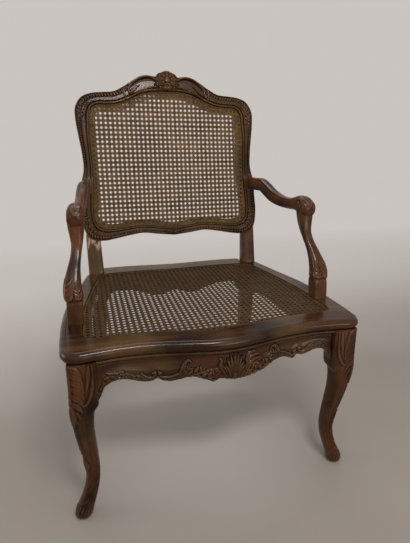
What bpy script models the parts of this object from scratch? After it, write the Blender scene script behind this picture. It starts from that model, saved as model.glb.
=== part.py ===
"""A carved walnut armchair with cabriole legs and a caned seat and back.

Sizes are in metres. +X is the viewer's right, -Y the front and +Z up. The legs stand on Z 0.
The back is drawn in its own raked plane: x across, s up the slope from the seat, n the depth behind its face.
"""

import math

import bmesh
import bpy
import numpy as np
from mathutils import Matrix, Vector

# Clearances
GAP = 0.0003
WELD_DISTANCE = 0.00004

# Seat boards
SEAT_HEIGHT = 0.4145
BOARD_THICKNESS = 0.024
NOSING_RADIUS = 0.0115
# Half the outline of the seat's lip: x, y from the front centre round to the rear centre
LIP_OUTLINE = (
    (0.0, -0.306), (0.040, -0.303), (0.080, -0.295), (0.147, -0.283), (0.213, -0.279), (0.270, -0.284),
    (0.302, -0.287), (0.321, -0.280), (0.331, -0.264), (0.334, -0.235), (0.335, -0.180), (0.334, -0.120),
    (0.326, -0.031), (0.299, 0.087), (0.271, 0.204), (0.262, 0.234), (0.252, 0.246), (0.236, 0.250),
    (0.0, 0.250),
)
# Half the outline of the sunk panel that holds the cane
POCKET_OUTLINE = (
    (0.0, -0.249), (0.080, -0.241), (0.154, -0.228), (0.225, -0.224), (0.268, -0.223), (0.283, -0.217),
    (0.2875, -0.203), (0.2885, -0.160), (0.2875, -0.100), (0.266, 0.050), (0.2445, 0.150), (0.238, 0.180),
    (0.230, 0.189), (0.216, 0.1905), (0.0, 0.1905),
)
POCKET_DEPTH = 0.006
CANE_LEDGE = 0.018
FRONT_BOARD_REAR_Y = -0.199
CANE_THICKNESS = 0.0026
CANE_RIDGE = 0.0010
SEAT_CANE_CELLS = (8, 7)
BACK_CANE_CELLS = (8, 7)
CANE_RIB = 0.016
# From a cane panel's edge to the middle of its first bar
CANE_BORDER = 0.016

# Rails under the seat
RAIL_SETBACK = 0.011
FRONT_RAIL_INNER_Y = -0.250
SIDE_RAIL_THICKNESS = 0.024
REAR_RAIL_THICKNESS = 0.024
REAR_RAIL_PROUD = 0.006
RAIL_BEAD_HEIGHT = 0.012
RAIL_BEAD_DEPTH = 0.005
# Lower edge of the front rail, which is carved freely and not quite even: distance from its middle,
# drop below the top of the seat
FRONT_RAIL_EDGE = (
    (-0.2665, 0.1195), (-0.2600, 0.1085), (-0.2550, 0.0950), (-0.2449, 0.0861), (-0.2274, 0.0801),
    (-0.2130, 0.0807), (-0.1988, 0.0844), (-0.1816, 0.0902), (-0.1700, 0.0929), (-0.1552, 0.0920),
    (-0.1447, 0.0878), (-0.1346, 0.0933), (-0.1199, 0.0964), (-0.1022, 0.0934), (-0.0873, 0.0889),
    (-0.0726, 0.0873), (-0.0548, 0.0916), (-0.0399, 0.0975), (-0.0274, 0.1009), (-0.0167, 0.0955),
    (0.0007, 0.0985), (0.0175, 0.1017), (0.0378, 0.1030), (0.0595, 0.1020), (0.0814, 0.0978),
    (0.1000, 0.0920), (0.1139, 0.0835), (0.1288, 0.0789), (0.1442, 0.0790), (0.1595, 0.0848),
    (0.1690, 0.0880), (0.1746, 0.0820), (0.1928, 0.0829), (0.2075, 0.0791), (0.2213, 0.0733),
    (0.2355, 0.0725), (0.2504, 0.0781), (0.2585, 0.0885), (0.2665, 0.1085),
)
FRONT_RAIL_CENTRE_X = 0.016
# The shell carved on the front rail: drop of its middle below the top of the seat, and length of its ribs
APRON_SHELL_DROP = 0.0825
APRON_SHELL_REACH = 0.047
# Half the lower edge of the other rails: distance from the middle, drop below the top of the seat
SIDE_RAIL_EDGE = (
    (0.0, 0.1005), (0.045, 0.1025), (0.075, 0.0955), (0.110, 0.0885), (0.150, 0.0875),
    (0.185, 0.0965), (0.210, 0.1145),
)
REAR_RAIL_EDGE = (
    (0.0, 0.0815), (0.060, 0.0945), (0.110, 0.0775), (0.165, 0.0665), (0.205, 0.0775),
    (0.2205, 0.1045),
)

# Front legs: share of the height of the boards' underside, centre x, centre y, half width, corner roundness
LEG_BLOCK_X = 0.294
LEG_BLOCK_Y = -0.2565
LEG_BLOCK_HALF = 0.0275
FRONT_LEG = (
    (0.0000, 0.3155, -0.2580, 0.0135, 2.2), (0.0154, 0.3160, -0.2590, 0.0175, 2.2),
    (0.0461, 0.3140, -0.2600, 0.0190, 2.2), (0.0820, 0.3090, -0.2590, 0.0180, 2.4),
    (0.1410, 0.2998, -0.2555, 0.0158, 3.0), (0.2178, 0.2917, -0.2505, 0.0150, 3.4),
    (0.2947, 0.2892, -0.2482, 0.0152, 3.4), (0.3844, 0.2919, -0.2500, 0.0165, 3.4),
    (0.4869, 0.2960, -0.2550, 0.0186, 3.6), (0.5894, 0.2994, -0.2600, 0.0205, 3.8),
    (0.6868, 0.2996, -0.2630, 0.0232, 4.0), (0.7688, 0.2975, -0.2625, 0.0258, 4.5),
    (0.8457, 0.2950, -0.2590, 0.0270, 6.0), (1.0000, LEG_BLOCK_X, LEG_BLOCK_Y, LEG_BLOCK_HALF, 7.0),
)
# The leaf on the knee: how far it stands out, its middle and its spread, as shares of the leg's height
KNEE_LEAF_HEIGHT = 0.0035
KNEE_LEAF_MIDDLE = 0.705
KNEE_LEAF_SPREAD = 0.115
KNEE_SHARES = (0.54, 0.64, 0.73, 0.81)
# The scroll of the toe: how far it stands out, its height and its spread
TOE_OUT = 0.004
TOE_HEIGHT = 0.014
TOE_SPREAD = 0.012

# Rear legs: share of the seat's height, centre x, centre y, half width across, half depth
POST_HALF_X = 0.022
POST_HALF_Y = 0.020
POST_X = 0.2425
REAR_LEG = (
    (0.0000, 0.2560, 0.2740, 0.0165, 0.0165), (0.0724, 0.2545, 0.2660, 0.0170, 0.0170),
    (0.2413, 0.2510, 0.2460, 0.0185, 0.0180), (0.4343, 0.2475, 0.2270, 0.0200, 0.0190),
    (0.6031, 0.2445, 0.2150, 0.0215, 0.0200), (0.7479, POST_X, 0.2125, POST_HALF_X, POST_HALF_Y),
    (1.0000, POST_X, 0.2125, POST_HALF_X, POST_HALF_Y),
)

# The raked back
RAKE = 0.2013
RAKE_PIVOT_Y = 0.1922
BACK_THICKNESS = 0.028
LEDGE_DEPTH = 0.0095
POST_TOP = 0.122
# Stations round half the back, from the middle of the lower rail to the middle of the crest:
# parameter, outer x, outer s, inner x, inner s
BACK_LOOP = (
    (0.0, 0.000, 0.1030, 0.000, 0.1245), (1.0, 0.050, 0.1085, 0.047, 0.1300),
    (2.0, 0.095, 0.1140, 0.092, 0.1355), (3.0, 0.140, 0.1085, 0.136, 0.1325),
    (4.0, 0.185, 0.1000, 0.178, 0.1275), (5.0, 0.214, 0.0965, 0.206, 0.1290),
    (6.0, 0.246, 0.1010, 0.226, 0.1385), (7.0, 0.265, 0.1240, 0.236, 0.1570),
    (8.0, 0.2715, 0.1700, 0.2385, 0.1850), (9.0, 0.2690, 0.2150, 0.2365, 0.2200),
    (10.0, 0.2668, 0.2600, 0.2335, 0.2600), (11.0, 0.2568, 0.3050, 0.2325, 0.3050),
    (12.0, 0.2580, 0.3500, 0.2335, 0.3500), (13.0, 0.2640, 0.4000, 0.2345, 0.4000),
    (14.0, 0.2685, 0.4400, 0.2325, 0.4350), (15.0, 0.2675, 0.4750, 0.2300, 0.4600),
    (16.0, 0.2500, 0.5040, 0.2220, 0.4780), (17.0, 0.2220, 0.5165, 0.2050, 0.4870),
    (18.0, 0.1900, 0.5205, 0.1800, 0.4875), (19.0, 0.1570, 0.5240, 0.1500, 0.4910),
    (20.0, 0.1280, 0.5385, 0.1220, 0.5000), (21.0, 0.0992, 0.5570, 0.0960, 0.5120),
    (22.0, 0.0800, 0.5680, 0.0760, 0.5205), (23.0, 0.0600, 0.5725, 0.0570, 0.5260),
    (24.0, 0.0430, 0.5705, 0.0410, 0.5280), (25.0, 0.0330, 0.5700, 0.0315, 0.5285),
    (26.0, 0.0230, 0.5795, 0.0220, 0.5290), (27.0, 0.0000, 0.5840, 0.0000, 0.5290),
)
LOWER_RAIL_END = 5.0
CREST_START = 14.0
LOOP_END = 27.0
# The gap at the joints of the frame, in steps of the stations
JOINT_STEP = 0.009
# Moulding across the frame's face: share of the way from the inner edge to the outer edge, depth
MOULDING = (
    (0.00, 0.0040), (0.12, 0.0020), (0.26, 0.0042), (0.46, 0.0062), (0.64, 0.0030),
    (0.80, 0.0002), (0.94, 0.0016), (1.00, 0.0065),
)

# Arms: y, x, height above the seat, half width, half height
ARM = (
    (0.1950, 0.2595, 0.2520, 0.0150, 0.0188), (0.1660, 0.2630, 0.2525, 0.0152, 0.0190),
    (0.1380, 0.2662, 0.2430, 0.0152, 0.0195), (0.1055, 0.2695, 0.2305, 0.0150, 0.0188),
    (0.0746, 0.2725, 0.2235, 0.0148, 0.0168), (0.0400, 0.2757, 0.2200, 0.0148, 0.0150),
    (0.0000, 0.2792, 0.2217, 0.0152, 0.0155), (-0.0250, 0.2812, 0.2260, 0.0168, 0.0180),
    (-0.0440, 0.2828, 0.2265, 0.0188, 0.0215), (-0.0600, 0.2840, 0.2230, 0.0198, 0.0235),
    (-0.0740, 0.2850, 0.2200, 0.0190, 0.0205), (-0.0830, 0.2855, 0.2190, 0.0165, 0.0140),
    (-0.0865, 0.2857, 0.2190, 0.0115, 0.0070),
)
# How far the flat under the hand runs behind its support
HAND_FLAT_MARGIN = 0.0095
ARM_ROOT_X = 0.2560
ARM_ROOT_S = 0.2560
ARM_ROOT_HALF = (0.0130, 0.0185)

# Arm supports: height above the seat, centre x, centre y, half width, half depth, corner roundness
SUPPORT_JOINT_RISE = 0.2015
ARM_SUPPORT = (
    (0.0003, 0.3010, -0.1340, 0.0175, 0.0180, 8.0), (0.0455, 0.3000, -0.1290, 0.0175, 0.0180, 8.0),
    (0.0505, 0.3000, -0.1285, 0.0175, 0.0178, 5.0), (0.0535, 0.3000, -0.1280, 0.0188, 0.0190, 4.0),
    (0.0705, 0.3015, -0.1225, 0.0192, 0.0192, 3.5), (0.0905, 0.3005, -0.1140, 0.0178, 0.0182, 3.2),
    (0.1155, 0.2958, -0.0995, 0.0140, 0.0155, 3.0), (0.1405, 0.2896, -0.0830, 0.0118, 0.0135, 3.0),
    (0.1655, 0.2858, -0.0695, 0.0116, 0.0130, 3.0), (0.1855, 0.2850, -0.0630, 0.0138, 0.0145, 3.0),
    (SUPPORT_JOINT_RISE - GAP, 0.2855, -0.0600, 0.0160, 0.0165, 3.0),
)

# Joinery
TENON_THICKNESS = 0.009
TENON_LENGTH = 0.022
REAR_TENON_LENGTH = 0.016
TENON_SHOULDER = 0.010
TENON_ROOT = 0.006
FRONT_TENON_WIDTH = 0.062
SIDE_TENON_WIDTH = 0.055
REAR_TENON_WIDTH = 0.030
REAR_TENON_THICKNESS = 0.008
# From the front rail's inner face, and from the rear legs' rear face, to the middle of the tenon
FRONT_TENON_SETBACK = 0.013
REAR_TENON_SETBACK = 0.011
# The tenons in the back, in its own plane: x, depth behind the face and s
BACK_TENON_N = (0.0125, 0.0215)
CREST_TENON_X = (0.243, 0.257)
CREST_TENON_S = (0.424, 0.454)
LOWER_TENON_X = (0.198, 0.226)
LOWER_TENON_S = (0.106, 0.119)
ARM_TENON_X = (0.249, 0.261)
ARM_TENON_N = (-0.012, 0.014)
ARM_TENON_HALF = 0.009
STUB_TENON_HALF = 0.006
STUB_TENON_LENGTH = 0.014
STUB_TENON_ROOT = 0.007
STUB_SIDES = 12
SUPPORT_TENON_ROOT = 0.008
HAND_TENON_LENGTH = 0.016
PEG_RADIUS = 0.0030
PEG_PROUD = 0.0004
PEG_SIDES = 8
# From a joint's line to the middle of its pegs, and what is left of the wood past a peg's end
PEG_INSET = 0.009
FRONT_PEG_STOP = 0.013
SIDE_PEG_STOP = 0.005
BACK_PEG_STOP = 0.0115
FRONT_PEG_DROPS = (0.0785, 0.0485)
SIDE_PEG_DROPS = (0.0715, 0.0455)
CREST_PEG = (0.250, 0.447)
LOWER_PEG = (0.217, 0.1125)
ARM_PEG_X = 0.2545
# How far a cutter runs past what it cuts
CUTTER_REACH = 0.020

WALNUT = {"color": (0.135, 0.062, 0.030, 1.0), "roughness": 0.34}
PEG_WOOD = {"color": (0.100, 0.045, 0.022, 1.0), "roughness": 0.45}
CANE = {"color": (0.290, 0.205, 0.090, 1.0), "roughness": 0.55}


def smooth(keys, t):
    """Reads a smooth curve through the rows of keys, whose first column is its parameter."""
    table = np.asarray(keys, float)
    knots, values = table[:, 0], table[:, 1:]
    t = np.clip(np.atleast_1d(np.asarray(t, float)), knots[0], knots[-1])
    step = np.diff(knots)[:, None]
    slope = np.diff(values, axis=0) / step
    inner = (slope[:-1] * step[1:] + slope[1:] * step[:-1]) / (step[:-1] + step[1:])
    tangent = np.vstack([slope[:1], inner, slope[-1:]])
    k = np.clip(np.searchsorted(knots, t, side="right") - 1, 0, len(knots) - 2)
    h = step[k]
    u = ((t - knots[k]) / h[:, 0])[:, None]
    return (
        (2 * u**3 - 3 * u**2 + 1) * values[k]
        + (u**3 - 2 * u**2 + u) * h * tangent[k]
        + (3 * u**2 - 2 * u**3) * values[k + 1]
        + (u**3 - u**2) * h * tangent[k + 1]
    )


def mirrored(keys):
    """Adds the mirror image of half a curve, given from its middle outwards, on the other side of 0."""
    return [(-row[0], *row[1:]) for row in reversed(keys[1:])] + list(keys)


def outline_loop(half, spacing):
    """Closes half an outline over X 0 and rounds it, with a point about every spacing."""
    half = np.asarray(half, float)
    whole = np.vstack([half, half[-2:0:-1] * (-1, 1)])
    padded = np.vstack([whole[-2:], whole, whole[:3]])
    along = np.concatenate([[0], np.cumsum(np.linalg.norm(np.diff(padded, axis=0), axis=1))])
    start, end = along[2], along[2 + len(whole)]
    count = max(16, round((end - start) / spacing))
    stops = np.linspace(start, end, count, endpoint=False)
    return smooth(np.column_stack([along, padded]), stops)


def inset(loop, distance):
    """Moves a closed outline inwards by a distance."""
    ahead, behind = np.roll(loop, -1, axis=0), np.roll(loop, 1, axis=0)
    along = ahead - behind
    normal = np.column_stack([-along[:, 1], along[:, 0]])
    normal /= np.linalg.norm(normal, axis=1)[:, None]
    return loop + normal * distance


def front_rail_edge(x):
    """Height of the front rail's lower edge at x."""
    return SEAT_HEIGHT - smooth(FRONT_RAIL_EDGE, x)[:, 0]


def lip_front(x):
    """The seat lip's front edge at x."""
    front = [row for row in LIP_OUTLINE if row[1] < -0.27 and row[0] < 0.31]
    return smooth(mirrored(front), x)[:, 0]


def lip_side(y):
    """The seat lip's side edge at y."""
    side = [(row[1], row[0]) for row in LIP_OUTLINE if row[0] > 0.26 and -0.27 < row[1] < 0.25]
    return smooth(side, y)[:, 0]


def material(name, finish):
    """A plain material with the wood's or the cane's colour."""
    made = bpy.data.materials.new(name)
    made.use_nodes = True
    shader = made.node_tree.nodes["Principled BSDF"]
    shader.inputs["Base Color"].default_value = finish["color"]
    shader.inputs["Roughness"].default_value = finish["roughness"]
    return made


def collection(name):
    """A new collection in the scene."""
    made = bpy.data.collections.new(name)
    bpy.context.scene.collection.children.link(made)
    return made


def mesh_object(name, points, faces, home, finish=None):
    """An object from points and faces, shaded smooth up to its sharp edges."""
    mesh = bpy.data.meshes.new(name)
    mesh.from_pydata([tuple(p) for p in points], [], faces)
    mesh.validate()
    obj = bpy.data.objects.new(name, mesh)
    home.objects.link(obj)
    if finish:
        mesh.materials.append(finish)
    mesh.shade_smooth()
    mesh.set_sharp_from_angle(angle=math.radians(35))
    return obj


def loft(name, rings, home, finish=None):
    """A solid through rings of equally many points, closed by a cap at each end."""
    rings = np.asarray(rings, float)
    count, size = rings.shape[:2]
    faces = []
    for i in range(count - 1):
        for j in range(size):
            k = (j + 1) % size
            faces.append((i * size + j, i * size + k, (i + 1) * size + k, (i + 1) * size + j))
    faces.append(tuple(range(size))[::-1])
    faces.append(tuple((count - 1) * size + j for j in range(size)))
    if ring_volume(rings) < 0:
        faces = [face[::-1] for face in faces]
    return mesh_object(name, rings.reshape(-1, 3), faces, home, finish)


def ring_volume(rings):
    """Signed volume of a loft, which tells whether its faces point out."""
    centre = rings.mean(axis=(0, 1))
    a = rings[:-1] - centre
    b = rings[1:] - centre
    a_next, b_next = np.roll(a, -1, axis=1), np.roll(b, -1, axis=1)
    return float(np.sum(np.cross(a, a_next) * b) + np.sum(np.cross(a_next, b_next) * b))


def box(name, low, high, home):
    """A box between two corners, made from a cube."""
    bpy.ops.mesh.primitive_cube_add(size=1)
    obj = bpy.context.object
    obj.name = name
    low, high = Vector(low), Vector(high)
    size = high - low
    obj.data.transform(Matrix.Translation((low + high) / 2) @ Matrix.Diagonal((*size, 1)))
    move_to(obj, home)
    return obj


def move_to(obj, home):
    """Puts an object in one collection only."""
    for old in list(obj.users_collection):
        old.objects.unlink(obj)
    home.objects.link(obj)


def rod(name, start, direction, length, radius, home, sides=PEG_SIDES):
    """A straight round rod from a start point."""
    direction = Vector(direction).normalized()
    middle = Vector(start) + direction * length / 2
    bpy.ops.mesh.primitive_cylinder_add(vertices=sides, radius=radius, depth=length)
    obj = bpy.context.object
    obj.name = name
    turn = direction.to_track_quat("Z", "Y").to_matrix().to_4x4()
    obj.data.transform(Matrix.Translation(middle) @ turn)
    move_to(obj, home)
    return obj


def join(target, tool, operation):
    """Cuts a tool from a target, or adds it, with a Boolean modifier."""
    modifier = target.modifiers.new(f"{operation.lower()} {tool.name}", "BOOLEAN")
    modifier.operation = operation
    modifier.object = tool
    tool.hide_render = True
    tool.display_type = "WIRE"


def grown(low, high, amount):
    """A box's corners moved out by an amount."""
    return [v - amount for v in low], [v + amount for v in high]


class Chair:
    """Holds the chair's collections and materials while its pieces are made."""

    def __init__(self):
        self.parts = collection("carved_armchair")
        self.tools = collection("cutters")
        self.walnut = material("walnut", WALNUT)
        self.peg_wood = material("peg_wood", PEG_WOOD)
        self.cane = material("cane", CANE)
        self.pieces = {}

    def add(self, obj):
        """Records a piece under its name."""
        self.pieces[obj.name] = obj
        return obj

    def tenon(self, name, low, high, tenoned, mortised):
        """A tenon on one piece in a mortise of the other, with a clearance all round."""
        tenon = box(f"{name}_tenon", low, high, self.tools)
        mortise = box(f"{name}_mortise", *grown(low, high, GAP), self.tools)
        join(self.pieces[tenoned], tenon, "UNION")
        join(self.pieces[mortised], mortise, "DIFFERENCE")

    def peg(self, name, start, direction, length, nodes):
        """A wooden peg, and its hole in the pieces that it pins."""
        hole_start = Vector(start) - Vector(direction).normalized() * 0.02
        hole = rod(f"{name}_hole", hole_start, direction, length + 0.02 + GAP, PEG_RADIUS + GAP, self.tools)
        for node in nodes:
            join(self.pieces[node], hole, "DIFFERENCE")
        proud = Vector(start) - Vector(direction).normalized() * PEG_PROUD
        peg = rod(name, proud, direction, length + PEG_PROUD, PEG_RADIUS, self.parts)
        peg.data.materials.append(self.peg_wood)
        self.add(peg)


def rake_matrix():
    """Takes the back's own plane, x, depth and height up the slope, to the chair's space."""
    return Matrix.Translation((0, RAKE_PIVOT_Y, SEAT_HEIGHT)) @ Matrix.Rotation(-RAKE, 4, "X")


def raked(points):
    """Points of the back's own plane, given as x, n, s, in the chair's space."""
    m = np.array(rake_matrix())
    points = np.asarray(points, float)
    return points @ m[:3, :3].T + m[:3, 3]


def superellipse(count, power):
    """A rounded square ring of unit half width, from its +X side round to +Y."""
    angle = np.linspace(0, 2 * math.pi, count, endpoint=False) + math.pi / count
    c, s = np.cos(angle), np.sin(angle)
    radius = (np.abs(c) ** power + np.abs(s) ** power) ** (-1 / power)
    return np.column_stack([c * radius, s * radius])


def bump(value, centre, width):
    """A smooth hill of height 1 round a centre."""
    return np.exp(-(((value - centre) / width) ** 2))


def apron_ornament(x, z):
    """Carved relief on the front rail's face: a shell between leaves, and a ribbon along its lower edge."""
    above = z - front_rail_edge(x)
    x = x - FRONT_RAIL_CENTRE_X
    across = np.abs(x)
    rise = z - (SEAT_HEIGHT - APRON_SHELL_DROP)
    angle = np.arctan2(x, APRON_SHELL_REACH + rise)
    flutes = 0.5 + 0.5 * np.cos(angle * 15)
    shell = bump(across, 0, 0.026) * bump(rise, 0, 0.026) * (0.0075 + 0.0030 * flutes)
    leaves = bump(across, 0.062, 0.026) * bump(above, 0.016, 0.014) * (0.0045 + 0.0022 * np.cos(across * 420))
    side = bump(across, 0.165, 0.034) * bump(above, 0.012, 0.010) * (0.0030 + 0.0014 * np.cos(across * 380))
    ribbon = bump(above, 0.0045, 0.0035) * 0.0028
    return shell + leaves + side + ribbon


def crest_ornament(x, s):
    """Carved relief on the back's face: a shell with a scooped leaf each side, and foliage at the corners."""
    across = np.abs(x)
    angle = np.arctan2(x, s - 0.528)
    flutes = 0.5 + 0.5 * np.cos(angle * 9)
    shell = bump(across, 0, 0.024) * bump(s, 0.560, 0.026) * (0.0085 + 0.0025 * flutes)
    scoop = bump(across, 0.066, 0.024) * bump(s, 0.562, 0.016) * 0.0040
    curl = bump(across, 0.112, 0.014) * bump(s, 0.535, 0.022) * 0.0045
    corner = bump(across, 0.246, 0.022) * bump(s, 0.495, 0.026) * (0.0030 + 0.0012 * np.cos((x + s) * 500))
    return shell + scoop + curl + corner


def make_front_rail(chair):
    """The carved rail between the front legs."""
    half = LEG_BLOCK_X - LEG_BLOCK_HALF - GAP
    top = SEAT_HEIGHT - BOARD_THICKNESS - GAP
    inner = FRONT_RAIL_CENTRE_X + np.linspace(-0.070, 0.070, 27)
    left = np.linspace(-half, inner[0] - 0.006, 21)
    right = np.linspace(inner[-1] + 0.006, half, 19)
    stations = np.concatenate([left, inner, right])
    shares = np.array([0.0, 0.06, 0.15, 0.28, 0.42, 0.56, 0.70, 0.82, 0.92, 1.0])
    low = front_rail_edge(stations)
    rings = []
    for x, bottom in zip(stations, low):
        face_top = top - RAIL_BEAD_HEIGHT
        z = bottom + (face_top - bottom) * shares
        face = lip_front(x)[0] + RAIL_SETBACK
        relief = apron_ornament(np.full_like(z, x), z)
        edge_round = 0.004 * (1 - np.clip(shares / 0.06, 0, 1))
        y = face + 0.004 - relief + edge_round
        front = np.column_stack([np.full_like(z, x), y, z])
        bead = [
            (x, face - 0.0005, face_top + 0.002), (x, face - RAIL_BEAD_DEPTH + 0.002, face_top + 0.006),
            (x, face, top),
        ]
        back = [(x, FRONT_RAIL_INNER_Y, top), (x, FRONT_RAIL_INNER_Y, bottom)]
        rings.append(np.vstack([front, bead, back]))
    rail = chair.add(loft("front_rail", rings, chair.parts, chair.walnut))
    return rail


def rail_rings(stations, place, edge, top, thickness):
    """Rings of a plain moulded rail. place gives its outer face's point and its outward direction."""
    rings = []
    for t in stations:
        origin, outward = place(t)
        bottom = SEAT_HEIGHT - smooth(mirrored(edge), t)[0, 0]
        rows = (
            (0.0015, bottom), (0.0, bottom + 0.003), (-0.0005, bottom + 0.008), (0.0025, bottom + 0.012),
            (0.0030, top - 0.016), (0.0005, top - 0.012), (-RAIL_BEAD_DEPTH + 0.003, top - 0.006), (0.0, top),
            (thickness, top), (thickness, bottom),
        )
        rings.append([(*(origin - outward * depth), z) for depth, z in rows])
    return rings


def make_side_rail(chair, side, name):
    """A rail between a front leg and a rear leg."""
    top = SEAT_HEIGHT - BOARD_THICKNESS - GAP
    front = LEG_BLOCK_Y + LEG_BLOCK_HALF + GAP
    rear = REAR_LEG[-1][2] - POST_HALF_Y - GAP
    middle, half = (front + rear) / 2, (rear - front) / 2
    stations = np.linspace(-half, half, 21)

    def place(t):
        y = middle + t
        outward = np.array([float(side), 0.0])
        return np.array([side * (lip_side(y)[0] - RAIL_SETBACK), y]), outward

    rings = rail_rings(stations, place, SIDE_RAIL_EDGE, top, SIDE_RAIL_THICKNESS)
    return chair.add(loft(name, rings, chair.parts, chair.walnut))


def make_rear_rail(chair):
    """The rail between the rear legs."""
    top = SEAT_HEIGHT - BOARD_THICKNESS - GAP
    half = POST_X - POST_HALF_X - GAP
    stations = np.linspace(-half, half, 23)
    outer = REAR_LEG[-1][2] + POST_HALF_Y + REAR_RAIL_PROUD

    def place(t):
        return np.array([t, outer]), np.array([0.0, 1.0])

    rings = rail_rings(stations, place, REAR_RAIL_EDGE, top, REAR_RAIL_THICKNESS)
    return chair.add(loft("rear_rail", rings, chair.parts, chair.walnut))


def make_front_leg(chair, side, name):
    """A cabriole leg in one piece, from its block between the rails to its scrolled foot."""
    top = SEAT_HEIGHT - BOARD_THICKNESS - GAP
    keys = np.array([row[0] for row in FRONT_LEG])
    shares = np.unique(np.concatenate([keys, KNEE_SHARES]))
    rings = []
    for share, (x, y, half, power) in zip(shares, smooth(FRONT_LEG, shares)):
        z = share * top
        ring = superellipse(16, power) * half
        outward = np.array([1.0, -1.0]) / math.sqrt(2)
        lobes = np.clip(ring @ outward / half, 0, None) ** 2
        leaf = KNEE_LEAF_HEIGHT * bump(share, KNEE_LEAF_MIDDLE, KNEE_LEAF_SPREAD) * lobes
        toe = TOE_OUT * bump(z, TOE_HEIGHT, TOE_SPREAD) * lobes
        ring = ring + outward * (leaf + toe)[:, None]
        rings.append([(side * (x + p), y + q, z) for p, q in ring])
    return chair.add(loft(name, rings, chair.parts, chair.walnut))


def post_ring(x, y, half_x, half_y, z, count=16, power=5.0):
    """A rounded rectangular ring at one height."""
    return [(x + p * half_x, y + q * half_y, z) for p, q in superellipse(count, power)]


def make_rear_leg(chair, side, name):
    """A rear leg and the side of the back, which are one length of wood."""
    rings = []
    for share, x, y, half_x, half_y in REAR_LEG:
        rings.append(post_ring(side * x, y, half_x, half_y, share * SEAT_HEIGHT))
    for s in np.linspace(0.03, POST_TOP, 4):
        ring = superellipse(16, 5.0)
        widened = POST_HALF_X - 0.004 * s / POST_TOP
        depth = POST_HALF_Y - 0.006 * s / POST_TOP
        local = [(side * POST_X + p * widened, POST_HALF_Y + 0.0005 + q * depth, s) for p, q in ring]
        rings.append(raked(local))
    leg = chair.add(loft(name, rings, chair.parts, chair.walnut))
    stations = np.linspace(LOWER_RAIL_END + JOINT_STEP, CREST_START - JOINT_STEP, 22)
    stile = loft(f"{name}_stile", frame_rings(stations, side), chair.tools)
    join(leg, stile, "UNION")
    return leg


def weld(obj):
    """Merges the specks that cuts leave along an edge."""
    modifier = obj.modifiers.new("weld", "WELD")
    modifier.merge_threshold = WELD_DISTANCE


def frame_rings(stations, side):
    """Rings round the back's frame: its ledge for the cane, its moulded and carved face and its back."""
    rings = []
    for t, (outer_x, outer_s, inner_x, inner_s) in zip(stations, smooth(BACK_LOOP, np.abs(stations))):
        turn = -1.0 if t < 0 else 1.0
        outer = np.array([outer_x * side * turn, outer_s])
        inner = np.array([inner_x * side * turn, inner_s])
        toward = (inner - outer) / np.linalg.norm(inner - outer)
        opening = inner + toward * CANE_LEDGE
        shares, depths = np.array(MOULDING).T
        face = inner + (outer - inner) * shares[:, None]
        pad = np.exp(-(((face[:, 1] - ARM_ROOT_S) / 0.024) ** 6)) * (np.abs(face[:, 0]) > 0.2)
        depth = depths * (1 - pad) - crest_ornament(face[:, 0], face[:, 1])
        ring = [(*opening, BACK_THICKNESS), (*opening, LEDGE_DEPTH), (*inner, LEDGE_DEPTH)]
        ring += [(p[0], p[1], d) for p, d in zip(face, depth)]
        ring += [(outer[0], outer[1], BACK_THICKNESS - 0.003), (*(outer + toward * 0.003), BACK_THICKNESS)]
        rings.append(raked([(x, n, s) for x, s, n in ring]))
    return rings


def crest_stations():
    """Stations over the whole crest, closer together at its shell."""
    half = np.concatenate([np.linspace(CREST_START, 22, 25), np.linspace(22.35, LOOP_END, 15)])
    return half


def make_crest(chair):
    """The carved top rail of the back, round both its corners."""
    half = crest_stations()
    right = frame_rings(half, 1)
    left = frame_rings(half, -1)
    rings = right + left[-2::-1]
    crest = loft("crest_rail", rings, chair.parts, chair.walnut)
    return chair.add(crest)


def make_lower_rail(chair):
    """The bottom rail of the back."""
    half = np.linspace(0, LOWER_RAIL_END, 17)
    stations = np.concatenate([-half[:0:-1], half])
    return chair.add(loft("lower_back_rail", frame_rings(stations, 1), chair.parts, chair.walnut))


def make_arm(chair, side, name):
    """An arm, from its root on the back to the scroll at its hand."""
    ring = superellipse(14, 2.8)
    half_x, half_s = ARM_ROOT_HALF
    root = raked([(ARM_ROOT_X + p * half_x, -GAP, ARM_ROOT_S + q * half_s) for p, q in ring])
    rings = [[(side * x, y, z) for x, y, z in root]]
    for y, x, rise, half_x, half_z in ARM:
        z = SEAT_HEIGHT + rise
        rings.append([(side * (x + p * half_x), y, z + q * half_z) for p, q in ring])
    arm = chair.add(loft(name, rings, chair.parts, chair.walnut))
    _, hand_x, hand_y, half_x, half_y, _ = ARM_SUPPORT[-1]
    joint = SEAT_HEIGHT + SUPPORT_JOINT_RISE
    low = (side * hand_x - half_x - CUTTER_REACH, hand_y - half_y - CUTTER_REACH, joint - 3 * CUTTER_REACH)
    high = (side * hand_x + half_x + CUTTER_REACH, hand_y + half_y + HAND_FLAT_MARGIN, joint)
    flat = box(f"{name}_flat", low, high, chair.tools)
    join(arm, flat, "DIFFERENCE")
    return arm


def make_arm_support(chair, side, name):
    """The curved post that carries an arm's hand."""
    rings = []
    for rise, x, y, half_x, half_y, power in ARM_SUPPORT:
        rings.append(post_ring(side * x, y, half_x, half_y, SEAT_HEIGHT + rise, 14, power))
    return chair.add(loft(name, rings, chair.parts, chair.walnut))


def slab(name, loop, low, high, home):
    """A flat plate with a closed outline, from a filled curve."""
    curve = bpy.data.curves.new(name, "CURVE")
    curve.dimensions = "2D"
    curve.fill_mode = "BOTH"
    curve.extrude = (high - low) / 2
    spline = curve.splines.new("POLY")
    spline.points.add(len(loop) - 1)
    for point, (x, y) in zip(spline.points, loop):
        point.co = (x, y, 0, 1)
    spline.use_cyclic_u = True
    return curve_to_mesh(name, curve, (low + high) / 2, home)


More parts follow.
